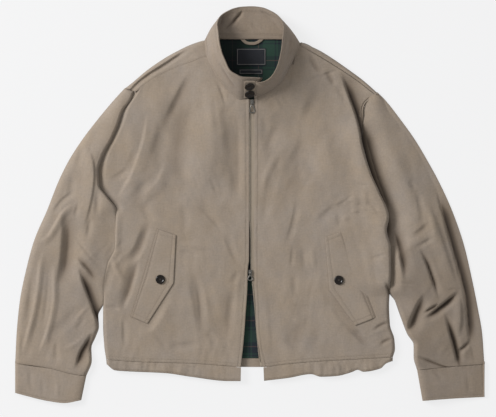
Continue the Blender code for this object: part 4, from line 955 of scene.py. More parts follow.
sleeveFolds = measureFolds([
    (6, 34, 3.8, -166, 62, -158, 47, -156, 29, -160, 1, -169, -28),
    (12.5, 11.2, -1.9, -167, 64, -170, 50, -172, 36), (12.5, 11.2, -1.71, -176, 33, -178, 18, -180, 3),
    (10, 6.2, -2.47, -173, 14, -187, 6, -198, -10),
    (14, 5, 4.2, -173, 2, -187, -6, -195, -22, -203, -34, -214, -38),
    (60.9, 15, -9.94, -183, -3, -182, -23, -183, -47, -189, -85),
    (8.8, 6.2, -1.9, -171, 3, -173, -5, -175, -13), (8.8, 8.8, -2.28, -152, 18, -152, 3, -153, -13),
    (10, 6.2, -2.28, -159, -11, -161, -23, -163, -35),
    (6.2, 4, -2.28, -176, -29, -170, -38, -162, -49, -154, -58, -147, -61),
    (17.4, 5, -6.07, -174, -50, -167, -59, -160, -67, -153, -80),
    (43.5, 6, -13.8, -171, -59, -166, -76, -162, -86, -157, -100, -151, -117, -146, -133),
    (13, 5, 4.2, -205, -44, -210, -59, -212, -85, -218, -115, -228, -151),
    (14, 4, 4, -196, -56, -196, -75, -196, -95, -200, -119, -212, -153),
    (10, 7.5, -1.71, -217, -65, -219, -93, -225, -123),
    (7.5, 6.2, -1.52, -201, -55, -202, -90, -208, -129),
    (17.5, 15, -1.71, -166, -99, -180, -113, -190, -123, -200, -133),
    (6.2, 6.2, 1.9, -159, -99, -167, -107, -176, -117),
    (8.8, 6.2, -1.23, -164, -111, -169, -118, -174, -126),
    (24.6, 6, -7.73, -155, -125, -164, -139, -170, -149, -174, -167),
    (7.5, 4, -2.47, -153, -133, -158, -141, -162, -151),
    (10, 6.2, 1.33, -162, -125, -170, -136, -180, -142, -192, -145),
    (7.5, 7.5, 1.33, -230, -125, -231, -140, -232, -155),
    (8.8, 7.5, -1.52, -192, -135, -194, -145, -193, -157),
    (87, 6, -15.87, 188, 13, 196, -17, 204, -45, 213, -76, 217, -95, 219, -123, 222, -145),
    (8, 26, 3.4, 178, 1, 186, -21, 196, -53, 206, -83), (5, 18, 3.6, 209, -89, 211, -113, 208, -133),
    (17.4, 6, -9.66, 211, -85, 199, -95, 188, -104, 172, -116),
    (8.7, 4, -6.07, 190, -98, 181, -103, 172, -109), (29, 9, -11.73, 176, -87, 166, -106, 156, -133),
    (15.9, 4, -6.35, 169, -41, 177, -59, 183, -77, 190, -96),
    (18.8, 6, -8.83, 195, -105, 200, -126, 205, -142, 211, -173),
    (11.6, 4, -5.8, 222, -134, 213, -142, 205, -149), (6.2, 4, -1.9, 220, -132, 223, -147, 225, -161),
    (4, 3.8, -1.52, 196, -86, 204, -84, 212, -86), (7.5, 11.2, -2.85, 161, -33, 171, -25, 180, -18),
    (6.2, 8.8, -2.47, 164, -43, 174, -38, 183, -32), (11.2, 8.8, -1.8, 167, 16, 170, -2, 174, -19),
    (8.8, 8.8, 1.52, 176, 6, 182, -15, 188, -41), (25, 37.5, 2.47, 138, 65, 149, 41, 157, 11, 159, -9),
    (24.6, 8, -9.66, 141, -17, 149, -41, 157, -77),
    (55.1, 6, -9.66, 108, 93, 111, 79, 112, 65, 116, 45, 123, 23, 132, -1, 138, -29, 141, -45),
    (4, 6.2, -1.23, 144, -78, 156, -78, 168, -80),
    (4, 11.6, -6.35, 162, -150, 178, -155, 196, -162, 214, -164),
    (6.2, 4, -1.52, 158, -131, 154, -137, 163, -147), (7.5, 7.5, -1.33, 159, 25, 162, 20, 166, 15),
    (30, 6, -6, 110, 87, 116, 69, 121, 49, 128, 25, 138, -1, 142, -21),
])
cuffFolds = measureFolds([
    (2.5, 6, -1.6, -232, -158, -216, -160, -199, -164), (5, 5, -1.6, -188, -152, -185, -155, -181, -158),
    (8, 7, -1, -219, -161, -220, -173, -218, -187), (7, 6, -1, -208, -173, -207, -183, -207, -192),
    (6, 6, 1, -193, -173, -192, -183, -193, -193), (8, 7, -1.4, 183, -164, 188, -170, 194, -176),
    (12, 5, -1.2, 216, -167, 218, -179, 218, -191), (6, 8, 0.7, 176, -181, 190, -179, 206, -181),
])


def sleeveHeight(share):
    table = sleeves["heights"]
    for (a, low), (b, high) in zip(table, table[1:]):
        if share <= b:
            break
    return low + (high - low) * smooth((share - a) / (b - a))


def cuffSwell(share):
    return 1 - max(rounding(share * cuff["wide"], 17), rounding((1 - share) * cuff["wide"], 8))


def cuffTop(side, share):
    # height of a cuff's upper layer, by the share of its width from its inner end
    return cuff["height"] / 2 * (1 + cuffSwell(share)) * (1 + 1.6 * sleeves[side]["tilt"] * (0.5 - share))


def makeSleeve(side):
    sleeve, over = sleeves[side], arms[side]["over"] == "sleeve"
    top, under = "top_sleeve_" + side, "under_sleeve_" + side
    outer, inner = sleeve["outer"][::-1], armSide(side, sleeve["inner"][::-1], over)
    # the head runs on a little under the shoulder
    aside = 3.0 if side == "right" else -3.0
    for rows in (outer, inner):
        x, y, z, w = rows[-1]
        rows[-1] = (x + aside, y + 4.6, z, w)
    sides = turned((outer, inner), side)
    armAt = 3 if side == "right" else 2
    (wide, long), step, least = sleeves["cut"], sleeves["step"], sleeves["least"]

    def height(x, y, u, v, aways):
        inwards = u if side == "right" else 1 - u
        crown = 1 - sleeves["crown"] * (1 - math.sin(math.pi * u)) + sleeve["tilt"] * (2 * inwards - 1)
        folds = foldHeight(x, y, sleeveFolds) * smooth(v * 12 + 0.4)
        wave = 0.9 * smooth((60 - aways[0]) / 60) * wavy(x / 13, y / 60, 3.7)
        z = sleeves["full"] * sleeveHeight(1 - v) * crown + folds + ripple(x, y, 5.5, 1.8) + wave
        z += (cuffTop(side, 1 - inwards) + 1.3 - z) * (1 - smooth(aways[0] / 18))
        away = aways[armAt]
        # level with the body where the two lie side by side
        beside = (1 - smooth(away / 60)) * (1 - armShare(side, y)) * smooth((y + 240) / 40)
        if beside > 0:
            z += (bodyHeight(x, y) - z) * beside
        if not over:
            return max(least, armDip(side, y, away, z))
        return max(least, z + 3.0 * armShare(side, y) * ridge(away - 12, 16))

    rows, marks = panelRows(
        sleeve["cuffSeam"], [rows[-1] for rows in sides], *sides, height,
        cuts(wide, step, curled(13), curled(13)), cuts(long, step, seamMarks, curled(8)), (0.6, 0, 0, 0),
        ((0, 2.2, 0.2),), creases=sleeveFolds,
    )
    # painted shade: the sleeve is painted darker towards its cuff, more on the left sleeve, which slopes away
    # from the light
    marks = [[max(mark, sleeve["darkening"] * (1 - smooth((y + 160) / 120))) for mark, (x, y, z) in zip(*both)]
             for both in zip(marks, rows)]
    layCloth(top, gridMesh(rows, sleeve["grain"], marks), cloth["shell"], [under], flat=(0.19, 0.66),
             area=sleeve["areas"]["top"])
    low = turned([flatSide(outer), flatSide(sleeve["inner"][::-1])], side)
    rows, marks = flatPanel(sleeve["cuffSeam"], [rows[-1] for rows in low], *low, sleeves["cut"], (6, 7))
    layCloth(under, gridMesh(rows, sleeve["grain"], marks), cloth["shell"], ["floor"], flat=(0.19, 0.66),
             area=sleeve["areas"]["under"])


def makeCuff(side):
    # a tube: its upper layer from end to end, and back along the lower one
    name, sleeve, long = "cuff_" + side, sleeves[side], cuff["long"]
    readSeam, readEdge = curve([row[:2] for row in sleeve["cuffSeam"]]), curve(sleeve["cuffEdge"])
    shares = cuts(cuff["wide"], 3.0, curled(9), curled(9))
    ring = [(u, True) for u in shares] + [(u, False) for u in reversed(shares[1:-1])]
    edgeMarks = (0, 0.4, 1.2, 2.2, 3.4, 4.4, 5.2, 6.2)
    levels = cuts(long, 3.0, (-5.0, -2.4, -0.6, 0.2, 0.8, 1.6, 2.6, 3.6), edgeMarks)

    def spot(place, t):
        u, upper = place
        x, y = (a + (b - a) * t for a, b in zip(readSeam(u), readEdge(u)))
        inwards = 1 - u if side == "right" else u
        swell, away, low = cuffSwell(inwards), t * long, (1 - t) * long
        z = cuffTop(side, inwards) if upper else cuff["height"] / 2 * (1 - swell)
        z *= 1 - 0.22 * smooth((0.6 - away) / 5)
        sewn = ridge(low - 4.4, 1.1)
        if upper:
            waves = 0.9 * wavy(x / 26, y / 40, 8.8) + tightWaves(x, y, away, 20, 0.8, 1.2)
            waves += foldHeight(x, y, cuffFolds)
            z += swell * (waves - 0.3 * sewn - 0.7 * rounding(away, 2.2))
        # painted shade: the whole cuff is painted darker by its sleeve's share, more on the left, and at its
        # edges and stitch row
        return (x, y, z), max(rounding(away, 2.4), rounding(low, 2.0), 0.6 * sewn, sleeve["darkening"])

    rows, marks = pointsAndMarks(ring + ring[:1], levels, spot)
    bm = gridMesh(rows, None, marks)
    bmesh.ops.remove_doubles(bm, verts=bm.verts, dist=1e-6)
    bmesh.ops.reverse_faces(bm, faces=bm.faces)
    layCloth(name, bm, cloth["band"], ["floor"], flat=(0.29, 0.07), area=sleeve["areas"]["cuff"])
    keepRun(name, rows[-1 - edgeMarks.index(3.4)][2:len(shares) - 2])


back = {
    "cut": (580, 640), "hemCut": (600, 26),
    "corners": [(-261, 244), (269, 232)],
    "neck": [(-92, 342), (-76, 349), (-50, 350.5), (60, 350.5), (88, 348), (99, 341)],
    "hemSeam": [(-303, -312), (0, -313), (303, -306)],
    "hemEdge": [(-296, -331), (-280, -338), (-60, -340), (60, -340), (280, -331), (296, -320)],
}
# the shoulder parts, which come over to the front; the row of their grid that is sewn
shoulders = {
    "right": {"cut": (172, 36), "near": endMarks, "sewn": 4, "groove": ((0, 2.2, 0.2),), "flat": (0.20, 0.05),
              "area": 0.0060},
    "left": {"cut": (172, 12), "near": (0, 0.3, 0.9, 1.6), "sewn": 3, "groove": (), "flat": (0.20, 0.024),
             "area": 0.0035},
}
shoulderFolds = measureFolds([
    (8, 5, -5.5, -54, 160, -70, 150, -85, 140, -100, 131, -112, 122, -119, 114, -125, 104),
    (5, 4, -1.8, 100, 121, 107, 114, 111, 107), (3, 4, -1.5, 110, 101, 116, 103, 122, 104),
])


def makeBack():
    low, high = back["corners"]
    bottom = flatSide(back["hemSeam"])
    left = flatSide([bottom[0], *rightFront["side"][1:], low])
    right = flatSide([bottom[-1], *leftFront["side"][1:], high])
    over = [(x + 1, y - 1) for x, y, _, _ in rightFront["shoulderFold"][1:]]
    down = [(x - 1, y - 1) for x, y, _, _ in leftFront["shoulderFold"][:0:-1]]
    top = flatSide([low, *over, *back["neck"], *down, high])
    rows, marks = flatPanel(bottom, top, left, right, back["cut"], (6, 6.5))
    layCloth("back", gridMesh(rows, 0, marks), cloth["shell"], ["floor"], flat=(0.62, 0.67), area=0.335)
    for side, shoulder in shoulders.items():
        makeShoulder(side, shoulder)
    seam, edge = flatSide([(x, y - cloth["gap"]) for x, y in back["hemSeam"]]), flatSide(back["hemEdge"])
    rows, marks = flatPanel(edge, seam, [edge[0], seam[0]], [edge[-1], seam[-1]], back["hemCut"], (5, 3))
    layCloth("hem_back", gridMesh(rows, 0, marks), cloth["shell"], ["floor"], flat=(0.62, 0.034),
             area=0.0168)


def makeShoulder(side, shoulder):
    seam, fold = fronts[side]["shoulderSeam"], fronts[side]["shoulderFold"]
    if side == "right":
        seam, fold = seam + [(-83, 313)], fold + [(-94, 346, 1, 8)]
    else:
        seam, fold = seam[::-1], fold[::-1]
    lower = [(x, y + cloth["wrapStep"], 0, 0) for x, y in seam]
    ends = [[lower[i], (*fold[i][:2], 0, 0)] for i in (0, -1)]

    def height(x, y, u, v, aways):
        waves = tightWaves(x, y, aways[0], 10, 0.4, 7.7)
        return bodyHeight(x, y) + foldHeight(x, y, shoulderFolds) + waves

    wide, long = shoulder["cut"]
    along = cuts(long, 1.6, shoulder["near"], curled(fold[3][3]))
    rows, marks = panelRows(lower, fold, *ends, height, cuts(wide, 3.0), along, (0.7, 0, 0, 0),
                            shoulder["groove"])
    layCloth("back", gridMesh(rows, 0, marks), cloth["shell"], ["back"], name="shoulder_" + side,
             flat=shoulder["flat"], area=shoulder["area"])
    keepRun("back", [spot for spot in rows[shoulder["sewn"]] if abs(spot[0]) > 109])


lining = {
    "top": [
        (228, 240), (120, 308), (92, 338), (62, 349), (-50, 349), (-84, 338), (-118, 312), (-222, 246),
    ],
    "cut": (580, 640), "step": 5, "low": -325, "inset": 8.0, "height": 3.05,
}


def makeLining():
    sides = []
    for front, share, inset in (rightFront, 0.95, lining["inset"]), (leftFront, 0.9, -lining["inset"]):
        read = curve(front["side"])
        spots = [read(share * i / 18)[:2] for i in range(19)]
        spots = [(x + inset, max(y, lining["low"])) for x, y in spots]
        sides.append([spots[0]] + [spot for spot in spots[1:] if spot[1] > spots[0][1] + 1])
    left, right = sides
    top = [left[-1]] + lining["top"][::-1] + [right[-1]]

    def height(x, y, u, v, aways):
        wave = wavy(x / 60, y / 80, 4.4) * 0.35 + wavy(x / 20, y / 26, 6.4) * 0.15
        return lining["height"] + max(-0.4, min(0.35, wave))

    across, along = (cuts(length, lining["step"], endMarks, endMarks) for length in lining["cut"])
    rows, marks = panelRows(*map(flatSide, ([left[0], right[0]], top, left, right)), height, across, along,
                            (0.5, 0, 0, 0))
    # painted shadow of the collar's left side on the lining at the neck
    for row, markRow in zip(rows, marks):
        for i, (x, y, _) in enumerate(row):
            markRow[i] = max(markRow[i], 1.9 * (smooth((16 - x) / 40) * smooth((y - 225) / 20)))
    layCloth("back_lining", gridMesh(rows, 0, marks), cloth["lining"], ["back"], tartan, "tartan_lining",
             flat=(0.61, 0.69), area=0.335)


for make in (makeFront, makeHem, makeSleeve, makeCuff):
    for side in ("right", "left"):
        make(side)
makeBack()
makeLining()
print("shell and lining made")

collarFolds = measureFolds([
    (6, 4, -2.7, -31, 142, -25, 130, -17, 119, -9, 113), (5, 4, -1.2, -43.6, 173, -43.2, 160, -42.8, 147),
    (5, 4, -1.05, -37, 175, -36, 161, -34, 149), (5, 4, -0.9, -26, 143, -19, 131, -9, 125),
    (5, 4, -3, 50, 160, 43, 141, 33, 124), (5, 4, -1.05, 46, 161, 39, 143, 29, 126),
    (6, 5, -2.1, 38, 171, 40, 157, 34, 141), (5, 4, 1.8, 42, 153, 37, 139, 26, 125),
    (4, 5, -1.5, 12, 121, 20, 122, 30, 127), (8, 4, -5.1, -6, 195, -13, 188, -21, 179),
    (6, 4, -3.3, -11, 186, -19, 181, -26, 174), (7, 4, -2.7, -26, 193, -28, 185, -31, 175),
    (6, 4, -2.25, 8, 195, 18, 190, 27, 183), (5, 4, -2.1, 12, 191, 22, 185, 31, 176),
    (6, 5, -1.2, 0, 183, 6, 177, 12, 172), (4, 5, -1.05, -17, 175, -8, 173, 2, 171),
])


def bandPoint(read, share, v):
    # a point of the collar, the way out of its surface and the way up
    here, later, earlier = read(share), read(min(1.0, share + 0.01)), read(max(0.0, share - 0.01))
    low, high = Vector(here[:3]), Vector(here[3:])
    way = (Vector(later[:3]) + Vector(later[3:])) - (Vector(earlier[:3]) + Vector(earlier[3:]))
    out = (high - low).cross(way).normalized()
    return low.lerp(high, v) + out * (collar["swell"] * math.sin(math.pi * v)), out, (high - low).normalized()


def bandStart(whole, share):
    # the collar runs on a little under the body, less at its back and its ends
    if not whole:
        return collar["lift"]
    rear = smooth((share - 0.27) / 0.08) * smooth((0.70 - share) / 0.08)
    return -0.06 * rear - 0.1 * (1 - rear) * smooth(share / 0.06) * smooth((1 - share) / 0.06)


def makeBand(name, table, stations, finish, slot, **cut):
    # the collar or its tab, which has no folds of its own, with two rows of stitches on both faces
    whole, tall, sewn = name == "collar", collar["tall"], collar["sewn"]
    read, shares = curve(table), [i / (stations - 1) for i in range(stations)]
    levels = cuts(tall, 2.0, (0, 1.2, 2.4, 3.4, 4.4, 5.4, 6.5, 7.6, 8.7, 9.8),
                  (0, 0.4, 1.0, 2.0, 3.2, 4.2, 5.2, 6.4))

    def spot(share, v):
        up = bandStart(whole, share) + (1 - bandStart(whole, share)) * v
        point, out, _ = bandPoint(read, share, up)
        low, high = up * tall, (1 - v) * tall
        wave = 0.35 * wavy(share * 30, v * 2.5, 2.6) + 0.18 * wavy(share * 95, v * 5, 7.6)
        dent = 0.22 * (ridge(low - sewn[0], 1.0) + ridge(high - sewn[1], 1.0))
        fold = creaseShade = 0
        if whole:
            fold = foldHeight(point.x, point.y, collarFolds) * smooth(v * 9) * smooth((1 - v) * 7)
            fold = -fold if 0.33 < share < 0.69 else fold
            # painted shade in the collar's creases
            creaseShade = paintedCreaseShade(point.x, point.y, collarFolds)
        mark = max(0.25 * rounding(low, 2.4), rounding(high, 1.6), 0.5 * dent / 0.22, creaseShade)
        return tuple(point + out * (wave * smooth(v * 6) - dent + fold)), mark

    rows, marks = pointsAndMarks(shares, levels, spot)
    layCloth(name, gridMesh(rows, None, marks), cloth["collar"], ["front_right", "front_left", "back"],
             finish, slot, 0.0, **cut)
    for fromLow in (True, False):
        for way in (1.15, -1.15):
            run = []
            for share in shares:
                up = sewn[0] / tall if fromLow else 1 - (1 - bandStart(whole, share)) * sewn[1] / tall
                point, out, _ = bandPoint(read, share, up)
                run.append(tuple(point + out * (way - 0.05)))
            keepRun(name, run)


def straight(rows, share):
    # the point of a line at a share of its length
    lengths = [math.dist(a[:2], b[:2]) for a, b in zip(rows, rows[1:])]
    along = share * sum(lengths)
    for a, b, length in zip(rows, rows[1:], lengths):
        if along <= length + 1e-9:
            return [p + (q - p) * along / length for p, q in zip(a, b)]
        along -= length
    return rows[-1]


def makeFlap(side):
    # a slanted pocket flap: double row at its sewn edge, one row round its free edges
    name, flap, length, wide = "flap_" + side, flaps[side], flaps["long"], flaps["wide"]
    freeMarks = (0, 0.3, 0.9, 1.8, 3.0, 6.4, 7.2, 8.0, 8.8, 9.6)
    along = snap(cuts(length, 2.4, freeMarks, freeMarks), 1 - cornerShare(flap["free"], 1))
    across = cuts(wide, 2.2, (0, 0.3, 0.9, 1.7, 2.5, 4.0, 5.2, 6.0, 6.8), freeMarks)

    def spot(u, v):
        a, b = straight(flap["sewn"][::-1], v), straight(flap["free"][::-1], v)
        x, y = (p + (q - p) * u for p, q in zip(a, b))
        ends = (v * length * 0.97, (1 - v) * length * 0.97)
        sewn, loose = u * wide, (1 - u) * wide
        z = bodyHeight(x, y) + flaps["lift"]
        z -= 1.1 * rounding(loose, 2.4) + sum(rounding(end, 2.4) for end in ends)
        z -= flap["sink"] * (1 - smooth(sewn / 12)) + 0.6 * rounding(sewn, 2.6)
        single = max(ridge(away - 8.0, 1.0) for away in (loose, *ends))
        twin = max(ridge(sewn - place, 0.9) for place in (1.7, 6.0))
        z -= 0.3 * max(single, 1.4 * twin)
        z += 0.5 * wavy(x / 40, y / 40, 6.2) * min(1.0, loose / 10)
        # painted shade: the flap is darker along its free edges, its sewn edge and its sunk rows of stitches,
        # where shadow falls
        edge = rounding(min(loose, *ends), 2.2)
        return (x, y, z), max(0.5 * single, 1.2 * twin, 1.4 * edge, 1.5 * rounding(sewn, 2))

    rows, marks = pointsAndMarks(across, along, spot)
    laid, laidMarks = ([turned(row, side) for row in table] for table in (rows, marks))
    layCloth(name, gridMesh(laid, 0, laidMarks), flaps["wall"], ["front_" + side], flat=(0.075, 0.20),
             area=flap["area"])
    inner = freeMarks.index(8.0)
    low, high, last = inner, len(along) - 1 - inner, len(across) - 1 - inner
    for k in (3, 7):
        keepRun(name, column(rows, k)[2:-2])
    keepRun(name, column(rows, last)[low:high + 1])
    for r in (low, high):
        keepRun(name, rows[r][4:last + 1])


def bead(bm, place, long, wide, high, detail=1):
    # a stitch, a strand of a button's thread or a tooth of the zip
    shape = Matrix.Diagonal((long, wide, high, 1))
    bmesh.ops.create_icosphere(bm, subdivisions=detail, radius=1, matrix=place @ shape)


horn = {
    "radius": 0.00975, "collarRadius": 0.0108, "collarLift": 0.0022,
    "thread": (0.0021, 0.0003, 0.0003), "threadApart": 0.00035, "threadHeight": 0.66,
    "profile": [
        (0, 0), (0.7, 0), (0.86, 0.08), (0.96, 0.3), (1, 0.55), (0.985, 0.75), (0.94, 0.9), (0.87, 0.98),
        (0.79, 1.0), (0.71, 0.95), (0.64, 0.82), (0.57, 0.68), (0.48, 0.6), (0.3, 0.56), (0, 0.55),
    ],
}


def turnedButton(node, out, up, radius=horn["radius"], lift=0.0):
    # a turned horn button with a raised rim and its thread, where its solid is
    body = frame["nodes"][node]
    spots = [body.matrix_world @ vert.co for vert in body.data.vertices]
    middle = sum(spots, Vector()) / len(spots)
    lows = [spot.dot(out) for spot in spots]
    base = middle + out * (min(lows) - middle.dot(out)) + up * lift
    high = max(lows) - min(lows)
    bm = bmesh.new()
    verts = [bm.verts.new((x * radius, 0, z * high)) for x, z in horn["profile"]]
    edges = [bm.edges.new(pair) for pair in zip(verts, verts[1:])]
    bmesh.ops.spin(bm, geom=verts + edges, axis=(0, 0, 1), steps=40, angle=2 * math.pi, use_merge=True)
    bmesh.ops.remove_doubles(bm, verts=bm.verts, dist=1e-6)
    bmesh.ops.recalc_face_normals(bm, faces=bm.faces)
    side = up.cross(out).normalized()
    place = Matrix.Translation(base) @ Matrix((side, out.cross(side), out)).transposed().to_4x4()
    bmesh.ops.transform(bm, matrix=place, verts=bm.verts)
    dress(addPiece(node + "_horn", bm, darkHorn), "dark_horn", [node])
    bm = bmesh.new()
    for turn in range(2):
        for way in (-1, 1):
            spin = Matrix.Rotation(math.pi / 4 + math.pi / 2 * turn, 4, "Z")
            shift = Matrix.Translation((0, way * horn["threadApart"], high * horn["threadHeight"]))
            bead(bm, place @ spin @ shift, *horn["thread"], 2)
    dress(addPiece(node + "_horn_thread", bm, brownThread), "dark_horn")


makeBand("collar", collar["band"], 220, collarCotton, "collar_cotton", flat=(0.66, 0.05), area=0.0290)
makeBand("collar_tab", collar["tab"], 18, shellCotton, "shell_cotton", flat=(0.03, 0.055), area=0.0014)
for side in ("right", "left"):
    makeFlap(side)
readTab = curve(collar["tab"])
for node, share in (("collar_button_upper", 0.73), ("collar_button_lower", 0.27)):
    _, out, up = bandPoint(readTab, 0.52, share)
    turnedButton(node, out, up, horn["collarRadius"], horn["collarLift"])
for side in ("right", "left"):
    turnedButton("flap_button_" + side, Vector((0, 0, 1)), Vector((0, 1, 0)))

zipper = {
    "right": [
        (-19, -339), (-9, -220), (-6, -178), (-4.6, -134), (-2.2, -110), (-1.7, -56), (-0.2, -34),
        (-0.2, 221),
    ],
    "left": [
        (22, -339), (19, -321), (14, -273), (10, -220), (6, -178), (3.4, -152), (1.9, -130),
        (1.5, -60), (0.2, -34), (0.2, 221),
    ],
    "width": 14.0, "sink": 2.3, "flush": 1.75,
    "pitch": 1.6, "from": -330, "to": 208, "tooth": (0.0019, 0.00042, 0.0006),
}


def tapeHeight(x, y):
    # the closed part of the zip lies almost level with the cloth
    flush = zipper["flush"] * smooth((y + 45) / 30) * smooth((184 - y) / 12)
    return neckHeight(x, y) - zipper["sink"] + flush


def makeTape(side, sign):
    read, rows = curve(zipper[side]), []
    for i in range(181):
        x, y = read(i / 180)
        spots = [x + sign * zipper["width"] * k / 6 for k in range(7)]
        rows.append([(spot, y, tapeHeight(spot, y) + 0.12 * wavy(spot / 9, y / 22, 3))
                     for spot in spots[::sign]])
    layCloth("zip_tape_" + side, gridMesh(rows), cloth["tape"], ["back_lining", "front_right", "front_left"],
             zipTape, "zip_tape", flat=(0.0145, 0.57))


def makeCoil(side, sign):
    # one chain of the zip: small loops of monofilament sewn along the edge of its tape
    read, name, bm = curve(zipper[side]), "zip_coil_" + side, bmesh.new()
    samples = [read(i / 400) for i in range(401)]
    y, count = zipper["from"], 0
    while y < zipper["to"]:
        x = next(ax + (bx - ax) * (y - ay) / (by - ay)
                 for (ax, ay), (bx, by) in zip(samples, samples[1:]) if by >= y)
        spot = Vector((x + sign * 0.7, y + (0.8 if sign > 0 else 0), tapeHeight(x, y) + 0.6))
        bead(bm, Matrix.Translation(spot * mm), *zipper["tooth"])
        y += zipper["pitch"]
        count += 1
    dress(addPiece(name, bm, coilFinish), "zip_tape")
    print(name, count, "teeth")


for make in (makeTape, makeCoil):
    make("right", -1)
    make("left", 1)

hanger = {
    "path": [
        (-17.5, 349.6), (-13.5, 345), (-7, 340.5), (0, 339), (8, 339), (15, 341), (22, 345.5),
        (26.5, 349.6),
    ],
    "width": 6.2, "height": 4.15, "rise": 1.6, "end": 350.2,
}


def makeHanger():
    read, rows = curve(hanger["path"]), [[] for _ in range(9)]
    for i in range(61):
        share = i / 60
        x, y = read(share)
        later, earlier = read(min(1, share + 0.01)), read(max(0, share - 0.01))
        way = Vector((later[0] - earlier[0], later[1] - earlier[1])).normalized()
        z = hanger["height"] + hanger["rise"] * math.sin(math.pi * share)
        for k, row in enumerate(rows):
            out, bow = (k - 4) * hanger["width"] / 8, 0.25 * (1 - ((k - 4) / 4) ** 2)
            row.append((x - way.y * out, min(y + way.x * out, hanger["end"]), z + bow))
    layCloth("hanger_loop", gridMesh(rows), cloth["loop"], ["back_lining"], collarCotton, "collar_cotton",
             0.0, flat=(0.0125, 0.058), area=0.0004)


# name of the finish, corner, width and length
labels = {
    "neck_label": ("woven label", -28.5, 293, 62, 36),
    "size_label": ("woven size label", -23, 274, 50, 11.5),
}


def makeLabel(node, finish, x, y, wide, high):
    corners = [(x, y), (x + wide, y), (x, y + high), (x + wide, y + high)]
    sides = [flatSide([corners[i] for i in pair]) for pair in ((0, 1), (2, 3), (0, 2), (1, 3))]
    near = (0, 0.2, 0.6, 1.2)
    rows, marks = panelRows(*sides, lambda x, y, *rest: 4.15 + 0.15 * wavy(x / 16, y / 12, 3.3),
                            cuts(wide, 2, near, near), cuts(high, 2, near, near), (0.3,) * 4)
    layCloth(node, gridMesh(rows, 0, marks), cloth["label"], ["back_lining"], finish, "woven_label",
             flat=(wide / 1000, high / 1000))


makeHanger()
for node, (name, x, y, wide, high) in labels.items():
    makeLabel(node, labelFinish(name, wide, high, (x + wide / 2, y + high / 2)), x, y, wide, high)

sewing = {"every": 3.2, "long": 1.25, "wide": 0.26, "lift": 0.08}


def makeStitches(group, lines):
    # rows of stitches as one mesh of short threads
    bm, count = bmesh.new(), 0
    for line in lines:
        spots, need = [Vector(spot) for spot in line], sewing["every"] / 2
        for a, b in zip(spots, spots[1:]):
            gap = (b - a).length
            while need <= gap and gap > 0:
                way = (b - a).normalized()
                up = Vector((0, 0, 1)) if abs(way.z) < 0.9 else Vector((0, 1, 0))
                side = up.cross(way).normalized()
                turn = Matrix((way, side, way.cross(side))).transposed().to_4x4()
                place = Matrix.Translation((a + way * need + Vector((0, 0, sewing["lift"]))) * mm) @ turn
                wide = sewing["wide"]
                bead(bm, place, sewing["long"] * mm, wide * mm, wide * 0.8 * mm)
                count += 1
                need += sewing["every"]
            need -= gap
    piece = addPiece("stitches_" + group, bm, beigeThread)
    dress(piece, "collar_cotton" if group == "collar" else "shell_cotton")
    print("stitches", group, count)


# top, low end, and half widths at the top and below; the ring's end is counted from the solid's
pulls = {"link": (0.35, -8.4, 1.75, 1.6), "linkWire": 0.7, "ring": (-7.0, 0.9, 3.0, 5.4), "ringWire": 1.25}


def wireLoop(bm, path, radius, place):
    # a closed loop of round wire along a flat path
    count, sides, rings = len(path), 10, []
    for i, (x, y) in enumerate(path):
        (ax, ay), (bx, by) = path[i - 1], path[(i + 1) % count]
        way = Vector((bx - ax, by - ay, 0)).normalized()
        out, ring = Vector((way.y, -way.x, 0)), []
        for k in range(sides):
            turn = 2 * math.pi * k / sides
            spot = Vector((x, y, 0)) + (out * math.cos(turn) + Vector((0, 0, 0.75 * math.sin(turn)))) * radius
            ring.append(bm.verts.new(place @ (spot * mm)))
        rings.append(ring)
    for one, two in zip(rings, rings[1:] + rings[:1]):
        for k in range(sides):
            bm.faces.new((one[k], one[(k + 1) % sides], two[(k + 1) % sides], two[k]))


def roundedPath(top, low, wideTop, wideLow):
    # outline of a drop: a small half round at the top and a larger one below
    path = []
    ends = ((wideTop, wideTop, top - wideTop, 0), (wideLow, wideLow * 0.8, low + wideLow * 0.8, 1))
    for wide, tall, y, half in ends:
        for i in range(8):
            turn = math.pi * (half + i / 7)
            path.append((wide * math.cos(turn), y + tall * math.sin(turn)))
    return path


def makePull(node, joint):
    # a short link and a drop ring, lying as their solid does
    solid = frame["nodes"][node]
    spots = [solid.matrix_world @ vert.co for vert in solid.data.vertices]
    hinge, axis = Vector(joint["pos_m"]), Vector(joint["axis"]).normalized()
    reach = max((spot - hinge).length for spot in spots)
    ends = [spot for spot in spots if (spot - hinge).length > 0.9 * reach]
    way = sum(ends, Vector()) / len(ends) - hinge
    way = (way - axis * way.dot(axis)).normalized()
    out = axis.cross(way)
    out = out if out.z > 0 else -out
    length = max((spot - hinge).dot(way) for spot in spots) / mm
    place = Matrix.Translation(hinge) @ Matrix(((-way).cross(out), -way, out)).transposed().to_4x4()
    bm = bmesh.new()
    wireLoop(bm, roundedPath(*pulls["link"]), pulls["linkWire"], place)
    top, end, wideTop, wideLow = pulls["ring"]
    wireLoop(bm, roundedPath(top, end - length, wideTop, wideLow), pulls["ringWire"], place)
    bmesh.ops.recalc_face_normals(bm, faces=bm.faces)
    dress(addPiece(node + "_metal", bm, oldSilver), "old_silver", [node], node)


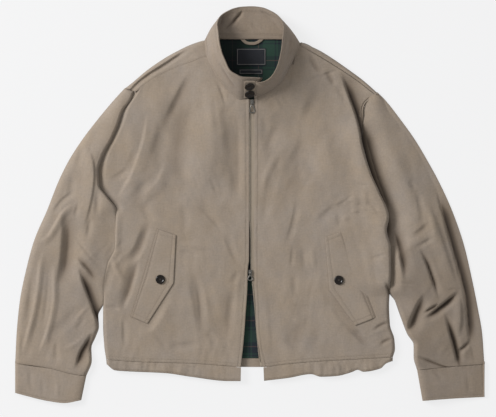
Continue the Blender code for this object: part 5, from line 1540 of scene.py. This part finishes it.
for group, lines in runs.items():
    makeStitches(group, lines)
for joint in frame["joints"]:
    makePull(joint["child"], joint)
for node in ("slider_top", "slider_bottom"):
    materials = frame["nodes"][node].data.materials
    materials.clear()
    materials.append(oldSilver)
print("collar, flaps, zip, labels and sewing made")

studio = {
    "floorSize": 7.0, "floorDrop": 0.0003, "floorColour": (0.08, 0.08, 0.081),
    "glow": 0.78, "glowColour": (1, 1, 1.004, 1),
    "fill": 0.57, "fillColour": (0.985, 0.995, 1.0, 1),
    "keyPower": 430.0, "keySize": 2.7, "keyFrom": (-4.6, 2.1, 3.42),
    "cameraHeight": 12.0, "cameraLens": 414.8, "cameraOver": (-0.0042, -0.00735),
}


def makeStudio():
    scene = bpy.context.scene
    bm = bmesh.new()
    bmesh.ops.create_grid(bm, x_segments=1, y_segments=1, size=studio["floorSize"])
    bmesh.ops.translate(bm, vec=(0, 0, -studio["floorDrop"]), verts=bm.verts)
    paper = Finish("studio paper", 0.9, Emission_Color=studio["glowColour"], Emission_Strength=studio["glow"])
    colour, fleck = studio["floorColour"], paper.cloudy(paper.place(), 3.0, 1.0)
    finish = paper.join(Base_Color=paper.mix(fleck, tuple(c * 0.97 for c in colour), colour))
    addPiece("floor", bm, finish)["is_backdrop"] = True
    key = bpy.data.lights.new("key", "AREA")
    key.energy, key.shape, key.size = studio["keyPower"], "DISK", studio["keySize"]
    lamp = link("key", key)
    lamp.rotation_euler = Vector(studio["keyFrom"]).to_track_quat("Z", "Y").to_euler()
    lamp.location = studio["keyFrom"]
    scene.world = bpy.data.worlds.new("studio")
    scene.world.use_nodes = True
    fill = scene.world.node_tree.nodes["Background"].inputs
    fill[0].default_value, fill[1].default_value = studio["fillColour"], studio["fill"]
    camera = bpy.data.cameras.new("camera")
    camera.lens, camera.sensor_width, camera.clip_end = studio["cameraLens"], 36, 100
    scene.camera = link("camera", camera)
    scene.camera.location = (*studio["cameraOver"], studio["cameraHeight"])
    scene.view_settings.view_transform = "Standard"


makeStudio()
print("studio made")
boxes = {"cad": cadBox, "scene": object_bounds()}
{name: [list(corner) for corner in box] for name, box in boxes.items()}
